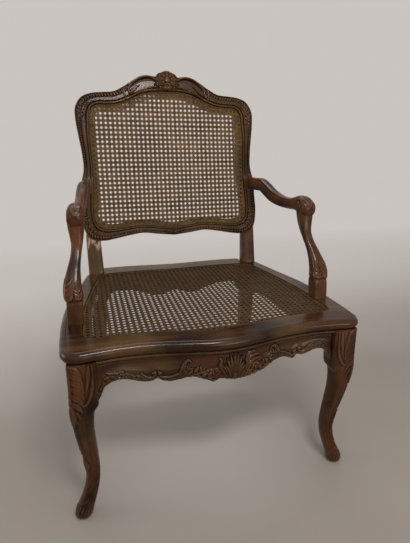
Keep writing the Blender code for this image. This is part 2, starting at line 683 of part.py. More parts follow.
def curve_to_mesh(name, curve, height, home):
    """The mesh of a filled curve at a height, with its caps welded on."""
    temporary = bpy.data.objects.new(f"{name}_curve", curve)
    home.objects.link(temporary)
    temporary.location.z = height
    bpy.context.view_layer.update()
    graph = bpy.context.evaluated_depsgraph_get()
    mesh = bpy.data.meshes.new_from_object(temporary.evaluated_get(graph))
    mesh.transform(temporary.matrix_world)
    bpy.data.objects.remove(temporary)
    work = bmesh.new()
    work.from_mesh(mesh)
    bmesh.ops.remove_doubles(work, verts=work.verts, dist=0.00002)
    bmesh.ops.dissolve_limit(work, angle_limit=0.0005, verts=work.verts, edges=work.edges)
    bmesh.ops.recalc_face_normals(work, faces=work.faces)
    work.to_mesh(mesh)
    work.free()
    obj = bpy.data.objects.new(name, mesh)
    home.objects.link(obj)
    return obj


def nosed_slab(name, home):
    """The whole seat frame as one plate with a rounded outer edge."""
    curve = bpy.data.curves.new(name, "CURVE")
    curve.dimensions = "2D"
    curve.fill_mode = "BOTH"
    curve.extrude = BOARD_THICKNESS / 2 - NOSING_RADIUS
    curve.bevel_depth = NOSING_RADIUS
    curve.bevel_resolution = 1
    loop = inset(outline_loop(LIP_OUTLINE, 0.024), NOSING_RADIUS)
    spline = curve.splines.new("POLY")
    spline.points.add(len(loop) - 1)
    for point, (x, y) in zip(spline.points, loop):
        point.co = (x, y, 0, 1)
    spline.use_cyclic_u = True
    return curve_to_mesh(name, curve, SEAT_HEIGHT - BOARD_THICKNESS / 2, home)


def make_seat_boards(chair):
    """Four boards round the cane, cut from one nosed outline at their butt joints."""
    pocket = outline_loop(POCKET_OUTLINE, 0.024)
    above, below = SEAT_HEIGHT + CUTTER_REACH, SEAT_HEIGHT - BOARD_THICKNESS - CUTTER_REACH
    opening = slab("seat_opening", inset(pocket, CANE_LEDGE), below, above, chair.tools)
    recess = slab("seat_recess", pocket, SEAT_HEIGHT - POCKET_DEPTH, above, chair.tools)
    post_inner = POST_X - POST_HALF_X
    post_front = REAR_LEG[-1][2] - POST_HALF_Y
    low, high = SEAT_HEIGHT - BOARD_THICKNESS - CUTTER_REACH, SEAT_HEIGHT + CUTTER_REACH
    far = 2 * max(x for x, _ in LIP_OUTLINE)
    side_front = FRONT_BOARD_REAR_Y + GAP
    regions = {
        "seat_board_front": ((-far, -far, low), (far, FRONT_BOARD_REAR_Y, high)),
        "seat_board_rear": ((-post_inner + GAP, 0, low), (post_inner - GAP, far, high)),
        "seat_board_left": ((-far, side_front, low), (-post_inner, post_front - GAP, high)),
        "seat_board_right": ((post_inner, side_front, low), (far, post_front - GAP, high)),
    }
    for name, (a, b) in regions.items():
        board = nosed_slab(name, chair.parts)
        board.data.materials.append(chair.walnut)
        region = box(f"{name}_region", a, b, chair.tools)
        join(board, region, "INTERSECT")
        join(board, opening, "DIFFERENCE")
        join(board, recess, "DIFFERENCE")
        chair.add(board)


def cane_lines(low, high, count):
    """Lines across a cane panel: their places, which run along ridges and which have a gap after them."""
    half = CANE_RIB / 2
    places, ridges, gaps = [low - 0.01], [False], [False]
    for centre in np.linspace(low + CANE_BORDER, high - CANE_BORDER, count + 1):
        places += [centre - half, centre, centre + half]
        ridges += [False, True, False]
        gaps += [False, False, True]
    gaps[-1] = False
    return np.array(places + [high + 0.01]), ridges + [False], gaps + [False]


def make_cane(chair, name, loop, cells, base, place):
    """A cane panel inside a closed outline: ridged bars both ways, with gaps between them."""
    low, high = loop.min(axis=0), loop.max(axis=0)
    xs, ridge_x, gap_x = cane_lines(low[0], high[0], cells[0])
    ys, ridge_y, gap_y = cane_lines(low[1], high[1], cells[1])
    columns, rows = len(xs), len(ys)
    layer = columns * rows
    points = [(x, y, base) for y in ys for x in xs]
    for j, y in enumerate(ys):
        for i, x in enumerate(xs):
            lift = CANE_RIDGE if ridge_x[i] or ridge_y[j] else 0.0
            points.append((x, y, base + CANE_THICKNESS - CANE_RIDGE + lift))
    opening = inset(loop, CANE_LEDGE + 0.003)
    solid = np.ones((columns + 1, rows + 1), bool)
    solid[0] = solid[-1] = False
    solid[:, 0] = solid[:, -1] = False
    for i in range(columns - 1):
        for j in range(rows - 1):
            corners = [(xs[i + a], ys[j + b]) for a in (0, 1) for b in (0, 1)]
            if gap_x[i] and gap_y[j] and all(inside(opening, corner) for corner in corners):
                solid[i + 1, j + 1] = False
    faces = []
    for i in range(columns - 1):
        for j in range(rows - 1):
            if not solid[i + 1, j + 1]:
                continue
            ring = (j * columns + i, j * columns + i + 1, (j + 1) * columns + i + 1, (j + 1) * columns + i)
            beside = (solid[i + 1, j], solid[i + 2, j + 1], solid[i + 1, j + 2], solid[i, j + 1])
            faces += [ring[::-1], tuple(v + layer for v in ring)]
            for k in range(4):
                if not beside[k]:
                    faces.append((ring[k], ring[(k + 1) % 4], ring[(k + 1) % 4] + layer, ring[k] + layer))
    panel = mesh_object(name, points, faces, chair.parts, chair.cane)
    outline = slab(f"{name}_outline", loop, base - 0.01, base + 0.02, chair.tools)
    tidy(panel.data)
    place(panel)
    place(outline)
    join(panel, outline, "INTERSECT")
    return chair.add(panel)


def tidy(mesh):
    """Drops loose points and joins the faces that lie in one plane."""
    work = bmesh.new()
    work.from_mesh(mesh)
    loose = [vertex for vertex in work.verts if not vertex.link_faces]
    bmesh.ops.delete(work, geom=loose, context="VERTS")
    bmesh.ops.dissolve_limit(work, angle_limit=0.0005, verts=work.verts, edges=work.edges)
    work.to_mesh(mesh)
    work.free()


def inside(loop, point):
    """Whether a point is inside a closed outline."""
    x, y = point
    ahead = np.roll(loop, -1, axis=0)
    crosses = (loop[:, 1] > y) != (ahead[:, 1] > y)
    run = np.where(crosses, ahead[:, 1] - loop[:, 1], 1.0)
    at = loop[:, 0] + (y - loop[:, 1]) * (ahead[:, 0] - loop[:, 0]) / run
    return bool(np.count_nonzero(crosses & (at > x)) % 2)


def make_seat_cane(chair):
    """The caned seat, which lies in the boards' sunk panel."""
    loop = inset(outline_loop(POCKET_OUTLINE, 0.024), GAP)
    base = SEAT_HEIGHT - POCKET_DEPTH + GAP
    make_cane(chair, "seat_cane", loop, SEAT_CANE_CELLS, base, lambda obj: None)


def back_cane_loop(margin):
    """The back panel's outline in its own plane."""
    stations = np.linspace(0, LOOP_END, 37)
    rows = smooth(BACK_LOOP, stations)
    inner = rows[:, 2:4]
    whole = np.vstack([inner, inner[-2:0:-1] * (-1, 1)])
    return inset(whole, margin)


def make_back_cane(chair):
    """The caned back, which lies on the frame's ledge."""
    loop = back_cane_loop(GAP + 0.0006)
    base = -LEDGE_DEPTH + GAP

    def place(obj):
        turn = Matrix.Rotation(math.pi / 2, 4, "X")
        obj.data.transform(rake_matrix() @ turn)

    make_cane(chair, "back_cane", loop, BACK_CANE_CELLS, base, place)


def join_rails_to_legs(chair):
    """Tenons between the seat rails and the legs."""
    top = SEAT_HEIGHT - BOARD_THICKNESS - GAP - TENON_SHOULDER
    half = TENON_THICKNESS / 2
    leg_inner, leg_back = LEG_BLOCK_X - LEG_BLOCK_HALF, LEG_BLOCK_Y + LEG_BLOCK_HALF
    post_front, post_inner = REAR_LEG[-1][2] - POST_HALF_Y, POST_X - POST_HALF_X
    front_y = FRONT_RAIL_INNER_Y - FRONT_TENON_SETBACK
    rear_y = REAR_LEG[-1][2] + POST_HALF_Y - REAR_TENON_SETBACK
    rail_middle = RAIL_SETBACK + SIDE_RAIL_THICKNESS / 2
    side_front_x = lip_side(leg_back)[0] - rail_middle
    side_rear_x = lip_side(post_front)[0] - rail_middle
    for side, word in ((-1, "left"), (1, "right")):
        front_leg, rear_leg, rail = f"front_leg_{word}", f"rear_leg_{word}", f"side_rail_{word}"
        joints = (
            (f"front_rail_{word}", "front_rail", front_leg,
             (leg_inner - TENON_ROOT, leg_inner + TENON_LENGTH), (front_y - half, front_y + half),
             FRONT_TENON_WIDTH),
            (f"{rail}_front", rail, front_leg, (side_front_x - half, side_front_x + half),
             (leg_back - TENON_LENGTH, leg_back + TENON_ROOT), SIDE_TENON_WIDTH),
            (f"{rail}_rear", rail, rear_leg, (side_rear_x - half, side_rear_x + half),
             (post_front - TENON_ROOT, post_front + TENON_LENGTH), SIDE_TENON_WIDTH),
            (f"rear_rail_{word}", "rear_rail", rear_leg,
             (post_inner - TENON_ROOT, post_inner + REAR_TENON_LENGTH),
             (rear_y - REAR_TENON_THICKNESS / 2, rear_y + REAR_TENON_THICKNESS / 2), REAR_TENON_WIDTH),
        )
        for name, tenoned, mortised, x_span, y_span, width in joints:
            x0, x1 = sorted((side * x_span[0], side * x_span[1]))
            low, high = (x0, y_span[0], top - width), (x1, y_span[1], top)
            chair.tenon(name, low, high, tenoned, mortised)


def raked_tenon(chair, name, low, high, tenoned, mortised):
    """A tenon whose box is given in the back's own plane as x, depth, s."""
    tenon = box(f"{name}_tenon", low, high, chair.tools)
    mortise = box(f"{name}_mortise", *grown(low, high, GAP), chair.tools)
    for tool, node, operation in ((tenon, tenoned, "UNION"), (mortise, mortised, "DIFFERENCE")):
        tool.data.transform(rake_matrix())
        join(chair.pieces[node], tool, operation)


def join_back(chair):
    """Tenons between the back's rails, its sides and the arms."""
    arm_s = (ARM_ROOT_S - ARM_TENON_HALF, ARM_ROOT_S + ARM_TENON_HALF)
    for side, word in ((-1, "left"), (1, "right")):
        leg = f"rear_leg_{word}"
        joints = (
            (f"crest_{word}", CREST_TENON_X, BACK_TENON_N, CREST_TENON_S, leg, "crest_rail"),
            (f"lower_rail_{word}", LOWER_TENON_X, BACK_TENON_N, LOWER_TENON_S, "lower_back_rail", leg),
            (f"arm_{word}_root", ARM_TENON_X, ARM_TENON_N, arm_s, f"arm_{word}", leg),
        )
        for name, across, depth, up, tenoned, mortised in joints:
            x0, x1 = sorted((side * across[0], side * across[1]))
            low, high = (x0, depth[0], up[0]), (x1, depth[1], up[1])
            raked_tenon(chair, name, low, high, tenoned, mortised)


def add_pegs(chair):
    """Pegs through the tenons: from inside the legs and from behind the back."""
    leg_rear = LEG_BLOCK_Y + LEG_BLOCK_HALF
    leg_x = LEG_BLOCK_X - LEG_BLOCK_HALF + PEG_INSET
    rear_inner = POST_X - POST_HALF_X
    rear_y = REAR_LEG[-1][2] - POST_HALF_Y + PEG_INSET
    forward = rake_matrix().to_3x3() @ Vector((0, -1, 0))
    for side, word in ((-1, "left"), (1, "right")):
        leg, rear = f"front_leg_{word}", f"rear_leg_{word}"
        for i, drop in enumerate(FRONT_PEG_DROPS, 1):
            start = (side * leg_x, leg_rear, SEAT_HEIGHT - drop)
            length = 2 * LEG_BLOCK_HALF - FRONT_PEG_STOP
            chair.peg(f"peg_front_{word}_{i}", start, (0, -1, 0), length, (leg, "front_rail"))
        for i, drop in enumerate(SIDE_PEG_DROPS, 1):
            start = (side * rear_inner, rear_y, SEAT_HEIGHT - drop)
            length = 2 * POST_HALF_X - SIDE_PEG_STOP
            chair.peg(f"peg_side_{word}_{i}", start, (side, 0, 0), length, (rear, f"side_rail_{word}"))
        back_pegs = (
            ("crest", *CREST_PEG, "crest_rail"), ("lower", *LOWER_PEG, "lower_back_rail"),
            ("arm", ARM_PEG_X, ARM_ROOT_S, f"arm_{word}"),
        )
        for name, x, s, node in back_pegs:
            start = rake_matrix() @ Vector((side * x, BACK_THICKNESS, s))
            chair.peg(f"peg_{name}_{word}", start, forward, BACK_THICKNESS - BACK_PEG_STOP, (rear, node))


def join_seat_boards(chair):
    """Stub tenons from the front legs and the arm supports into the seat boards and the hands."""
    root = SEAT_HEIGHT - BOARD_THICKNESS - STUB_TENON_ROOT
    length = STUB_TENON_ROOT + STUB_TENON_LENGTH
    joint = SEAT_HEIGHT + SUPPORT_JOINT_RISE
    for side, word in ((-1, "left"), (1, "right")):
        leg, support = f"front_leg_{word}", f"arm_support_{word}"
        foot = (side * LEG_BLOCK_X, LEG_BLOCK_Y, root)
        stub = rod(f"{leg}_stub", foot, (0, 0, 1), length, STUB_TENON_HALF, chair.tools, STUB_SIDES)
        wide = STUB_TENON_HALF + GAP
        socket = rod(f"{leg}_socket", foot, (0, 0, 1), length + GAP, wide, chair.tools, STUB_SIDES)
        join(chair.pieces[leg], stub, "UNION")
        join(chair.pieces["seat_board_front"], socket, "DIFFERENCE")
        ends = (
            ("foot", ARM_SUPPORT[0], SEAT_HEIGHT - STUB_TENON_LENGTH, SEAT_HEIGHT + SUPPORT_TENON_ROOT,
             f"seat_board_{word}"),
            ("head", ARM_SUPPORT[-1], joint - SUPPORT_TENON_ROOT, joint + HAND_TENON_LENGTH, f"arm_{word}"),
        )
        for end, row, z0, z1, mortised in ends:
            x, y = side * row[1], row[2]
            low = (x - STUB_TENON_HALF, y - STUB_TENON_HALF, z0)
            high = (x + STUB_TENON_HALF, y + STUB_TENON_HALF, z1)
            chair.tenon(f"{support}_{end}", low, high, support, mortised)


def place_on_origin(chair):
    """Moves every object so that the chair's box is centred on X and Y, and stands on Z 0."""
    bpy.context.view_layer.update()
    graph = bpy.context.evaluated_depsgraph_get()
    low, high = Vector((1e9,) * 3), Vector((-1e9,) * 3)
    for obj in chair.pieces.values():
        for vertex in obj.evaluated_get(graph).data.vertices:
            low = Vector(map(min, low, vertex.co))
            high = Vector(map(max, high, vertex.co))
    shift = Vector((-(low.x + high.x) / 2, -(low.y + high.y) / 2, -low.z))
    for obj in [*chair.parts.objects, *chair.tools.objects]:
        obj.location += shift


def main():
    """Makes the chair."""
    for obj in list(bpy.data.objects):
        bpy.data.objects.remove(obj)
    chair = Chair()
    make_front_rail(chair)
    make_rear_rail(chair)
    make_lower_rail(chair)
    make_crest(chair)
    for side, word in ((-1, "left"), (1, "right")):
        make_side_rail(chair, side, f"side_rail_{word}")
        make_front_leg(chair, side, f"front_leg_{word}")
        make_rear_leg(chair, side, f"rear_leg_{word}")
        make_arm(chair, side, f"arm_{word}")
        make_arm_support(chair, side, f"arm_support_{word}")
    make_seat_boards(chair)
    make_seat_cane(chair)
    make_back_cane(chair)
    join_rails_to_legs(chair)
    join_seat_boards(chair)
    join_back(chair)
    add_pegs(chair)
    for word in ("left", "right"):
        weld(chair.pieces[f"rear_leg_{word}"])
    place_on_origin(chair)


main()
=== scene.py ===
"""The looks of a carved walnut armchair with a caned seat and back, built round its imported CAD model.

Sizes are in metres, and the tables of points and strokes in millimetres. Pieces are drawn about the chair's
own middle line, as the CAD drew them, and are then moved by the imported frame's shift. +X is the viewer's
right, -Y the front and +Z up. The back is drawn in its own raked plane: x across, s up the slope from the
seat, n the depth behind its face.
"""

import math

import bmesh
import bpy
import numpy as np
from mathutils import Matrix, Vector


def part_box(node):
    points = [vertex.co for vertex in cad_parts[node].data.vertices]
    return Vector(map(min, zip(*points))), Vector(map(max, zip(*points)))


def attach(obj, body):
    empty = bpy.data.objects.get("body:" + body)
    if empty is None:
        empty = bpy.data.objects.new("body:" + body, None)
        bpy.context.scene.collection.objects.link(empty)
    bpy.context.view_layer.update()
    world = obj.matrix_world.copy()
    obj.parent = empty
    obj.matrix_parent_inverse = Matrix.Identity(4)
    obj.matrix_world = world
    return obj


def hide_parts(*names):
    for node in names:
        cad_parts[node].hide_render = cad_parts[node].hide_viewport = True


def metres(rows, skip=0, plain=0):
    """Rows of millimetres as metres. The first skip and the last plain values of a row aren't lengths."""
    return tuple(
        tuple(v / 1000 if skip <= k < len(row) - plain else v for k, v in enumerate(row)) for row in rows
    )


# Camera, solved from the photograph
CAMERA_PLACE = (-0.2657, -1.0194, 0.8131)
CAMERA_YAW = 0.2868
CAMERA_PITCH = 0.3197
CAMERA_ROLL = 0.0118
CAMERA_LENS = 27.59
SENSOR = 36.0

# Seat
FRONT_LIP_Y = -0.306
SEAT_HEIGHT = 0.4145
BOARD_THICKNESS = 0.024
NOSING_RADIUS = 0.0115
JOINT_GAP = 0.0003
FRONT_BOARD_REAR_Y = -0.199
# Half the outline of the seat's lip: x, y from the front centre round to the rear centre
LIP_OUTLINE = metres((
    (0, -306), (40, -303), (80, -295), (147, -283), (213, -279), (270, -284), (302, -287), (321, -280),
    (331, -264), (334, -235), (335, -180), (334, -120), (326, -31), (299, 87), (271, 204), (262, 234),
    (252, 246), (236, 250), (0, 250),
))
# Where the lip's front run and its side run lie in that outline
LIP_FRONT_Y = -0.27
LIP_FRONT_END_X = 0.31
LIP_SIDE_START_X = 0.26
LIP_REAR_Y = 0.25
# Distance between the points of an outline, of the hole under the cane and of the incised line
OUTLINE_SPACING = 0.004
HOLE_SPACING = 0.024
LINE_SPACING = 0.006
# Half the outline of the sunk panel that holds the cane
POCKET_OUTLINE = metres((
    (0, -249), (80, -241), (154, -228), (225, -224), (268, -223), (283, -217), (287.5, -203),
    (288.5, -160), (287.5, -100), (266, 50), (244.5, 150), (238, 180), (230, 189), (216, 190.5),
    (0, 190.5),
))
POCKET_DEPTH = 0.006
CANE_LEDGE = 0.018
INCISED_INSET = 0.0125
INCISED_WIDTH = 0.0011
INCISED_DEPTH = 0.0009
# How far the shapes that cut the boards run past them
GROOVE_RISE = 0.0005
CUTTER_DEPTH = 0.05
CUTTER_RISE = 0.02
REGION_DEPTH = 0.06
REGION_RISE = 0.04
REGION_HALF = 0.4
REAR_REGION_Y = 0.10
# Steps round the nosing, how near two points are merged, and how flat an edge is dissolved
NOSING_STEPS = 6
WELD_DISTANCE = 0.00002
FLAT_ANGLE = 0.0005

# Rails under the seat
RAIL_SETBACK = 0.011
FRONT_RAIL_INNER_Y = -0.250
FRONT_FACE_DEPTH = 0.004
FRONT_RIM_HEIGHT = 0.0022
FRONT_RIM_RADIUS = 0.0024
FRONT_RIM_START = 0.026
# The swelling behind the palmette, the hollow along the rail's upper half and the incised line above it
FRONT_SWELL = 0.0045
FRONT_SWELL_Z = 0.345
FRONT_SWELL_HALF_X = 0.030
FRONT_SWELL_HALF_Z = 0.028
FRONT_HOLLOW = 0.0034
FRONT_HOLLOW_START = 0.45
FRONT_HOLLOW_BREAK = 0.05
FRONT_LINE_DEPTH = 0.0014
FRONT_LINE_WIDTH = 0.0011
FRONT_LINE_DROP = 0.0045
FRONT_LINE_BREAK = 0.034
FRONT_FOOT_SHARE = 0.03
FRONT_RAIL_CENTRE_X = 0.016
SIDE_RAIL_THICKNESS = 0.024
REAR_RAIL_THICKNESS = 0.024
REAR_RAIL_PROUD = 0.006
RAIL_BEAD_HEIGHT = 0.012
# Lower edge of the front rail: distance from its middle, height
FRONT_RAIL_EDGE = metres((
    (-266.5, 295), (-260, 306), (-255, 319.5), (-244.9, 328.4), (-227.4, 334.4), (-213, 333.8),
    (-198.8, 330.1), (-181.6, 324.3), (-170, 321.6), (-155.2, 322.5), (-144.7, 326.7), (-134.6, 321.2),
    (-119.9, 318.1), (-102.2, 321.1), (-87.3, 325.6), (-72.6, 327.2), (-54.8, 322.9), (-39.9, 317),
    (-27.4, 313.6), (-16.7, 319), (0.7, 316), (17.5, 312.8), (37.8, 311.5), (59.5, 312.5),
    (81.4, 316.7), (100, 322.5), (113.9, 331), (128.8, 335.6), (144.2, 335.5), (159.5, 329.7),
    (169, 326.5), (174.6, 332.5), (192.8, 331.6), (207.5, 335.4), (221.3, 341.2), (235.5, 342),
    (250.4, 336.4), (258.5, 326), (266.5, 306),
))
# Half the lower edge of the other rails: distance from the middle, height
SIDE_RAIL_EDGE = metres((
    (0, 314), (45, 312), (75, 319), (110, 326), (150, 327), (185, 318), (210, 300),
))
REAR_RAIL_EDGE = metres((
    (0, 333), (60, 320), (110, 337), (165, 348), (205, 337), (220.5, 310),
))
# Bead along the front rail's top: depth behind the rail's base face, height above the carved face
FRONT_RAIL_BEAD = metres((
    (1, 1.2), (-1.6, 2.6), (-2.9, 4.6), (-3.1, 6.2), (-2.4, 8.2), (-0.6, 9.6), (0.6, 10),
))
# Section of the other rails' outer face: depth, then the rise from the lower edge or the drop from the top
RAIL_FOOT = metres((
    (3, 0), (0.8, 1), (0, 3), (-0.8, 5.5), (-0.4, 8), (1.6, 9.5), (2.8, 12), (3.2, 20),
))
RAIL_HEAD = metres((
    (3.2, 20), (2.6, 16.5), (1, 14.5), (0.4, 12.5), (-1.4, 10), (-2.2, 6.5), (-1.2, 3), (0, 0),
))

# Front legs: height, centre x, centre y, half width, corner roundness
LEG_BLOCK_X = 0.294
LEG_BLOCK_Y = -0.2565
LEG_BLOCK_HALF = 0.0275
FRONT_LEG = metres((
    (0, 315.5, -258, 13.5, 2.2), (6, 316, -259, 17.5, 2.2), (18, 314, -260, 19, 2.2),
    (32, 309, -259, 18, 2.4), (55, 299.8, -255.5, 15.8, 3.0), (85, 291.7, -250.5, 15, 3.4),
    (115, 289.2, -248.2, 15.2, 3.4), (150, 291.9, -250, 16.5, 3.4), (190, 296, -255, 18.6, 3.6),
    (230, 299.4, -260, 20.5, 3.8), (268, 299.6, -263, 23.2, 4.0), (300, 297.5, -262.5, 25.8, 4.5),
    (330, 295, -259, 27, 6.0),
), plain=1)
FRONT_LEG += ((0.3902, LEG_BLOCK_X, LEG_BLOCK_Y, LEG_BLOCK_HALF, 7.0),)
# Where a front leg spreads under the ends of its rails
LEG_SHOULDER_START = 0.277
LEG_SHOULDER_HEIGHT = 0.018
LEG_SHOULDER_PROUD = 0.0008

# Rear legs: height, centre x, centre y, half width across, half depth
POST_HALF_X = 0.022
POST_HALF_Y = 0.020
POST_X = 0.2425
POST_Y = 0.2125
REAR_LEG = metres((
    (0, 256, 274, 16.5, 16.5), (30, 254.5, 266, 17, 17), (100, 251, 246, 18.5, 18),
    (180, 247.5, 227, 20, 19), (250, 244.5, 215, 21.5, 20),
))
REAR_LEG += tuple((z, POST_X, POST_Y, POST_HALF_X, POST_HALF_Y) for z in (0.310, SEAT_HEIGHT))
POST_ROUNDNESS = 5.0

# The raked back
RAKE = 0.2013
RAKE_PIVOT_Y = 0.1922
BACK_THICKNESS = 0.028
LEDGE_DEPTH = 0.0095
# The post above the seat: its start and top up the slope, and how much it leans and tapers on the way
POST_START = 0.008
POST_TOP = 0.122
POST_OVERLAP = 0.006
POST_SHOULDER = 0.010
POST_SETBACK = 0.0005
POST_LEAN = 0.0022
POST_TAPER_X = 0.0015
POST_TAPER_Y = 0.006
POST_RINGS = 50
# Stations round half the back, from the middle of the lower rail to the middle of the crest:
# outer x, outer s, inner x, inner s. A station's parameter is its number, from 0.
BACK_LOOP = tuple((i, *row) for i, row in enumerate(metres((
    (0, 103, 0, 124.5), (50, 108.5, 47, 130), (95, 114, 92, 135.5), (140, 108.5, 136, 132.5),
    (185, 100, 178, 127.5), (214, 96.5, 206, 129), (246, 101, 226, 138.5), (265, 124, 236, 157),
    (271.5, 170, 238.5, 185), (269, 215, 236.5, 220), (266.8, 260, 233.5, 260),
    (256.8, 305, 232.5, 305), (258, 350, 233.5, 350), (264, 400, 234.5, 400), (268.5, 440, 232.5, 435),
    (267.5, 475, 230, 460), (250, 504, 222, 478), (222, 516.5, 205, 487), (190, 520.5, 180, 487.5),
    (157, 524, 150, 491), (128, 538.5, 122, 500), (99.2, 557, 96, 512), (80, 568, 76, 520.5),
    (60, 572.5, 57, 526), (43, 570.5, 41, 528), (33, 570, 31.5, 528.5), (23, 579.5, 22, 529),
    (0, 584, 0, 529),
))))
LOWER_RAIL_END = 5.0
CREST_START = 14.0
LOOP_END = 27.0
JOINT_STEP = 0.009
# Points across the frame's face, the depth of its carving's bed, and how high a carving reaches it
FACE_POINTS = 56
CARVING_BED = 0.0030
CARVING_REACH = 0.0012
# Outer edge of the back's frame, behind its carving: distance before the rear, way in
BACK_EDGE = metres(((16, 0), (10, 0), (4, 0), (1, 1.5), (0, 4.5)))
# The plain place on the frame's face where an arm meets it
ARM_PAD_HALF = 0.024
ARM_PAD_X = 0.2
# Moulding across the frame's face: share of the way from the inner edge to the outer edge, depth
MOULDING = metres((
    (0.0, 4.6), (0.04, 2.2), (0.09, 1.6), (0.14, 2.2), (0.18, 5), (0.215, 5.6), (0.245, 4.4),
    (0.275, 2), (0.34, 1.5), (0.42, 1.4), (0.5, 1.5), (0.555, 2.2), (0.585, 4.6), (0.61, 5.2),
    (0.66, 4.6), (0.76, 3.8), (0.85, 4.2), (0.895, 4.4), (0.93, 1.8), (0.965, 1.8), (1.0, 5.2),
), skip=1)
# The hollow each side of the crest's rosette, which takes the moulding's place there
SCOOP = metres((
    (0.0, 4.4), (0.05, 1.6), (0.11, 1.4), (0.16, 3.4), (0.2, 5.6), (0.28, 6.4), (0.4, 6.6), (0.55, 6.5),
    (0.68, 6.2), (0.78, 4.6), (0.85, 1.2), (0.92, 0.8), (0.97, 1.6), (1.0, 5),
), skip=1)
SCOOP_SPAN = (0.030, 0.114)
SCOOP_EDGE = 0.006
SCOOP_FLOOR_S = 0.4

# Arms: y, x, z, half width, half height
ARM = metres((
    (195, 259.5, 666.5, 15, 18.8), (166, 263, 667, 15.2, 19), (138, 266.2, 657.5, 15.2, 19.5),
    (105.5, 269.5, 645, 15, 18.8), (74.6, 272.5, 638, 14.8, 16.8), (40, 275.7, 634.5, 14.8, 15),
    (0, 279.2, 636.2, 15.2, 15.5), (-25, 281.2, 640.5, 16.8, 18), (-44, 282.8, 641, 18.8, 21.5),
    (-60, 284, 637.5, 19.8, 23.5), (-74, 285, 634.5, 19, 20.5), (-83, 285.5, 633.5, 16.5, 14),
    (-86.5, 285.7, 633.5, 11.5, 7),
))
ARM_ROOT_X = 0.2560
ARM_ROOT_S = 0.2560
ARM_ROOT_HALF = (0.0130, 0.0185)
ARM_ROUNDNESS = 2.8
ARM_TIP_START = -0.075
ARM_TIP_STEP = 0.0005
ARM_TIP_RINGS = 20
# The two grooves along an arm: depth, angle from the top, width, where they fade
ARM_GROOVE_DEPTH = 0.0011
ARM_GROOVE_ANGLE = 0.85
ARM_GROOVE_WIDTH = 0.11
ARM_GROOVE_SPAN = (-0.010, 0.190)
ARM_GROOVE_FADE = (0.03, 0.02)
# The hand: its leaf's radius and share of height, and its eye's y and radius
HAND_RADIUS = 0.0195
HAND_LEAF_SHARE = 0.7
HAND_EYE_Y = -0.058
HAND_EYE_RADIUS = 0.020
# Rings cut round the hand's eye: depth, radius, width
HAND_RINGS = metres(((1.2, 12.5, 1.6), (1, 6.2, 1.4)))

# Arm supports: height, centre x, centre y, half width, half depth, corner roundness
ARM_SUPPORT = metres((
    (414.8, 301, -134, 17.5, 18, 8.0), (460, 300, -129, 17.5, 18, 8.0),
    (465, 300, -128.5, 17.5, 17.8, 5.0), (468, 300, -128, 18.8, 19, 4.0),
    (485, 301.5, -122.5, 19.2, 19.2, 3.5), (505, 300.5, -114, 17.8, 18.2, 3.2),
    (530, 295.8, -99.5, 14, 15.5, 3.0), (555, 289.6, -83, 11.9, 13.6, 3.0),
    (575, 286.2, -71.5, 12.8, 14.2, 3.0), (595, 285.1, -65, 15.8, 17.2, 3.0),
    (610, 285, -62, 18.1, 19.4, 2.8), (624, 284.5, -60.5, 19.4, 20.6, 2.8),
    (636, 284, -60, 19.6, 20.6, 2.8),
), plain=1)

# Six-way cane
CANE_PITCH = 0.0132
STRAND_WIDTH = 0.0030
DIAGONAL_WIDTH = 0.0028
STRAND_THICKNESS = 0.0007
PAIR_OFFSET = 0.00165
WEAVE_RISE = 0.00042
DIAGONAL_RISE = 0.00072
# Sections of a strand and of the strip round the border: shares of their width and thickness
STRAND_SECTION = ((-0.5, -0.2), (-0.25, 0.5), (0.25, 0.5), (0.5, -0.2))
BINDER_SECTION = ((-0.5, 0.0), (-0.34, 0.6), (0.0, 0.8), (0.34, 0.6), (0.5, 0.0), (0.0, -0.3))
BINDER_WIDTH = 0.0034
BINDER_THICKNESS = 0.0011
BINDER_MARGIN = 0.0034
BINDER_LEVEL = 0.0009
LOOP_SPACING = 0.0066
LOOP_WIDTH = 0.0022
LOOP_REACH = 0.002448
LOOP_LEVEL = 0.0010
LOOP_RISE = 0.0009
LOOP_POINTS = 7
# The strands' ends inside the pocket's edge, and the middle of the weave above the pocket's floor
WEAVE_MARGIN = 0.0024
CANE_LEVEL = 0.0016
# Seeds of the strands' shades
SEAT_SEED = 11
BACK_SEED = 21

# Angles in degrees past which an edge is sharp
WOOD_SHARP = 40
BOARD_SHARP = 28
CANE_SHARP = 70

# Points along each piece, and round it or across its face
POST_MESH = (170, 44)
LEG_MESH = (310, 116)
SUPPORT_MESH = (180, 104)
ARM_MESH = (210, 76)
FRONT_RAIL_MESH = (580, 72)
RAIL_STATIONS = 160
CREST_STEP = 0.0010
STILE_STEP = 0.0014

# The step in height that counts as a full crevice or a full edge
CREVICE_STEP = 0.0005
# Carving forms
LEAF, CORD, DROP = "leaf", "cord", "drop"
# Each stroke of carving: its path, its half width, its height, its form. Those of the back are x, s.
CREST_CARVING = (
    (((34, 560), (46, 565.5), (60, 567.5), (79, 563), (96, 552.5), (109, 540), (114.5, 529),
      (111, 521), (105, 523), (106, 529.5)), 3, 4.6, CORD),
    (((34, 540.5), (52, 537), (74, 528.5), (94, 517.5), (106, 509)), 2.2, 2.6, CORD),
    (((108, 518), (100, 529), (89, 539), (79, 544)), 5, 2.6, LEAF),
    (((124, 537), (127.5, 522), (124, 501)), 4.6, 3.6, LEAF),
)
# Lobed leaves of the back: path, reach, number of lobes each side, height
CREST_LEAVES = (
    (((4, 530), (18, 532), (30, 539), (38, 548)), 13, 3, 6),
    (((252, 450), (253, 470), (244, 486), (229, 495)), 13, 6, 3.4),
    (((252, 172), (251, 150), (242, 130), (228, 120)), 11, 5, 2.8),
    (((0, 112), (18, 115), (34, 118.5)), 8, 4, 2.6),
)
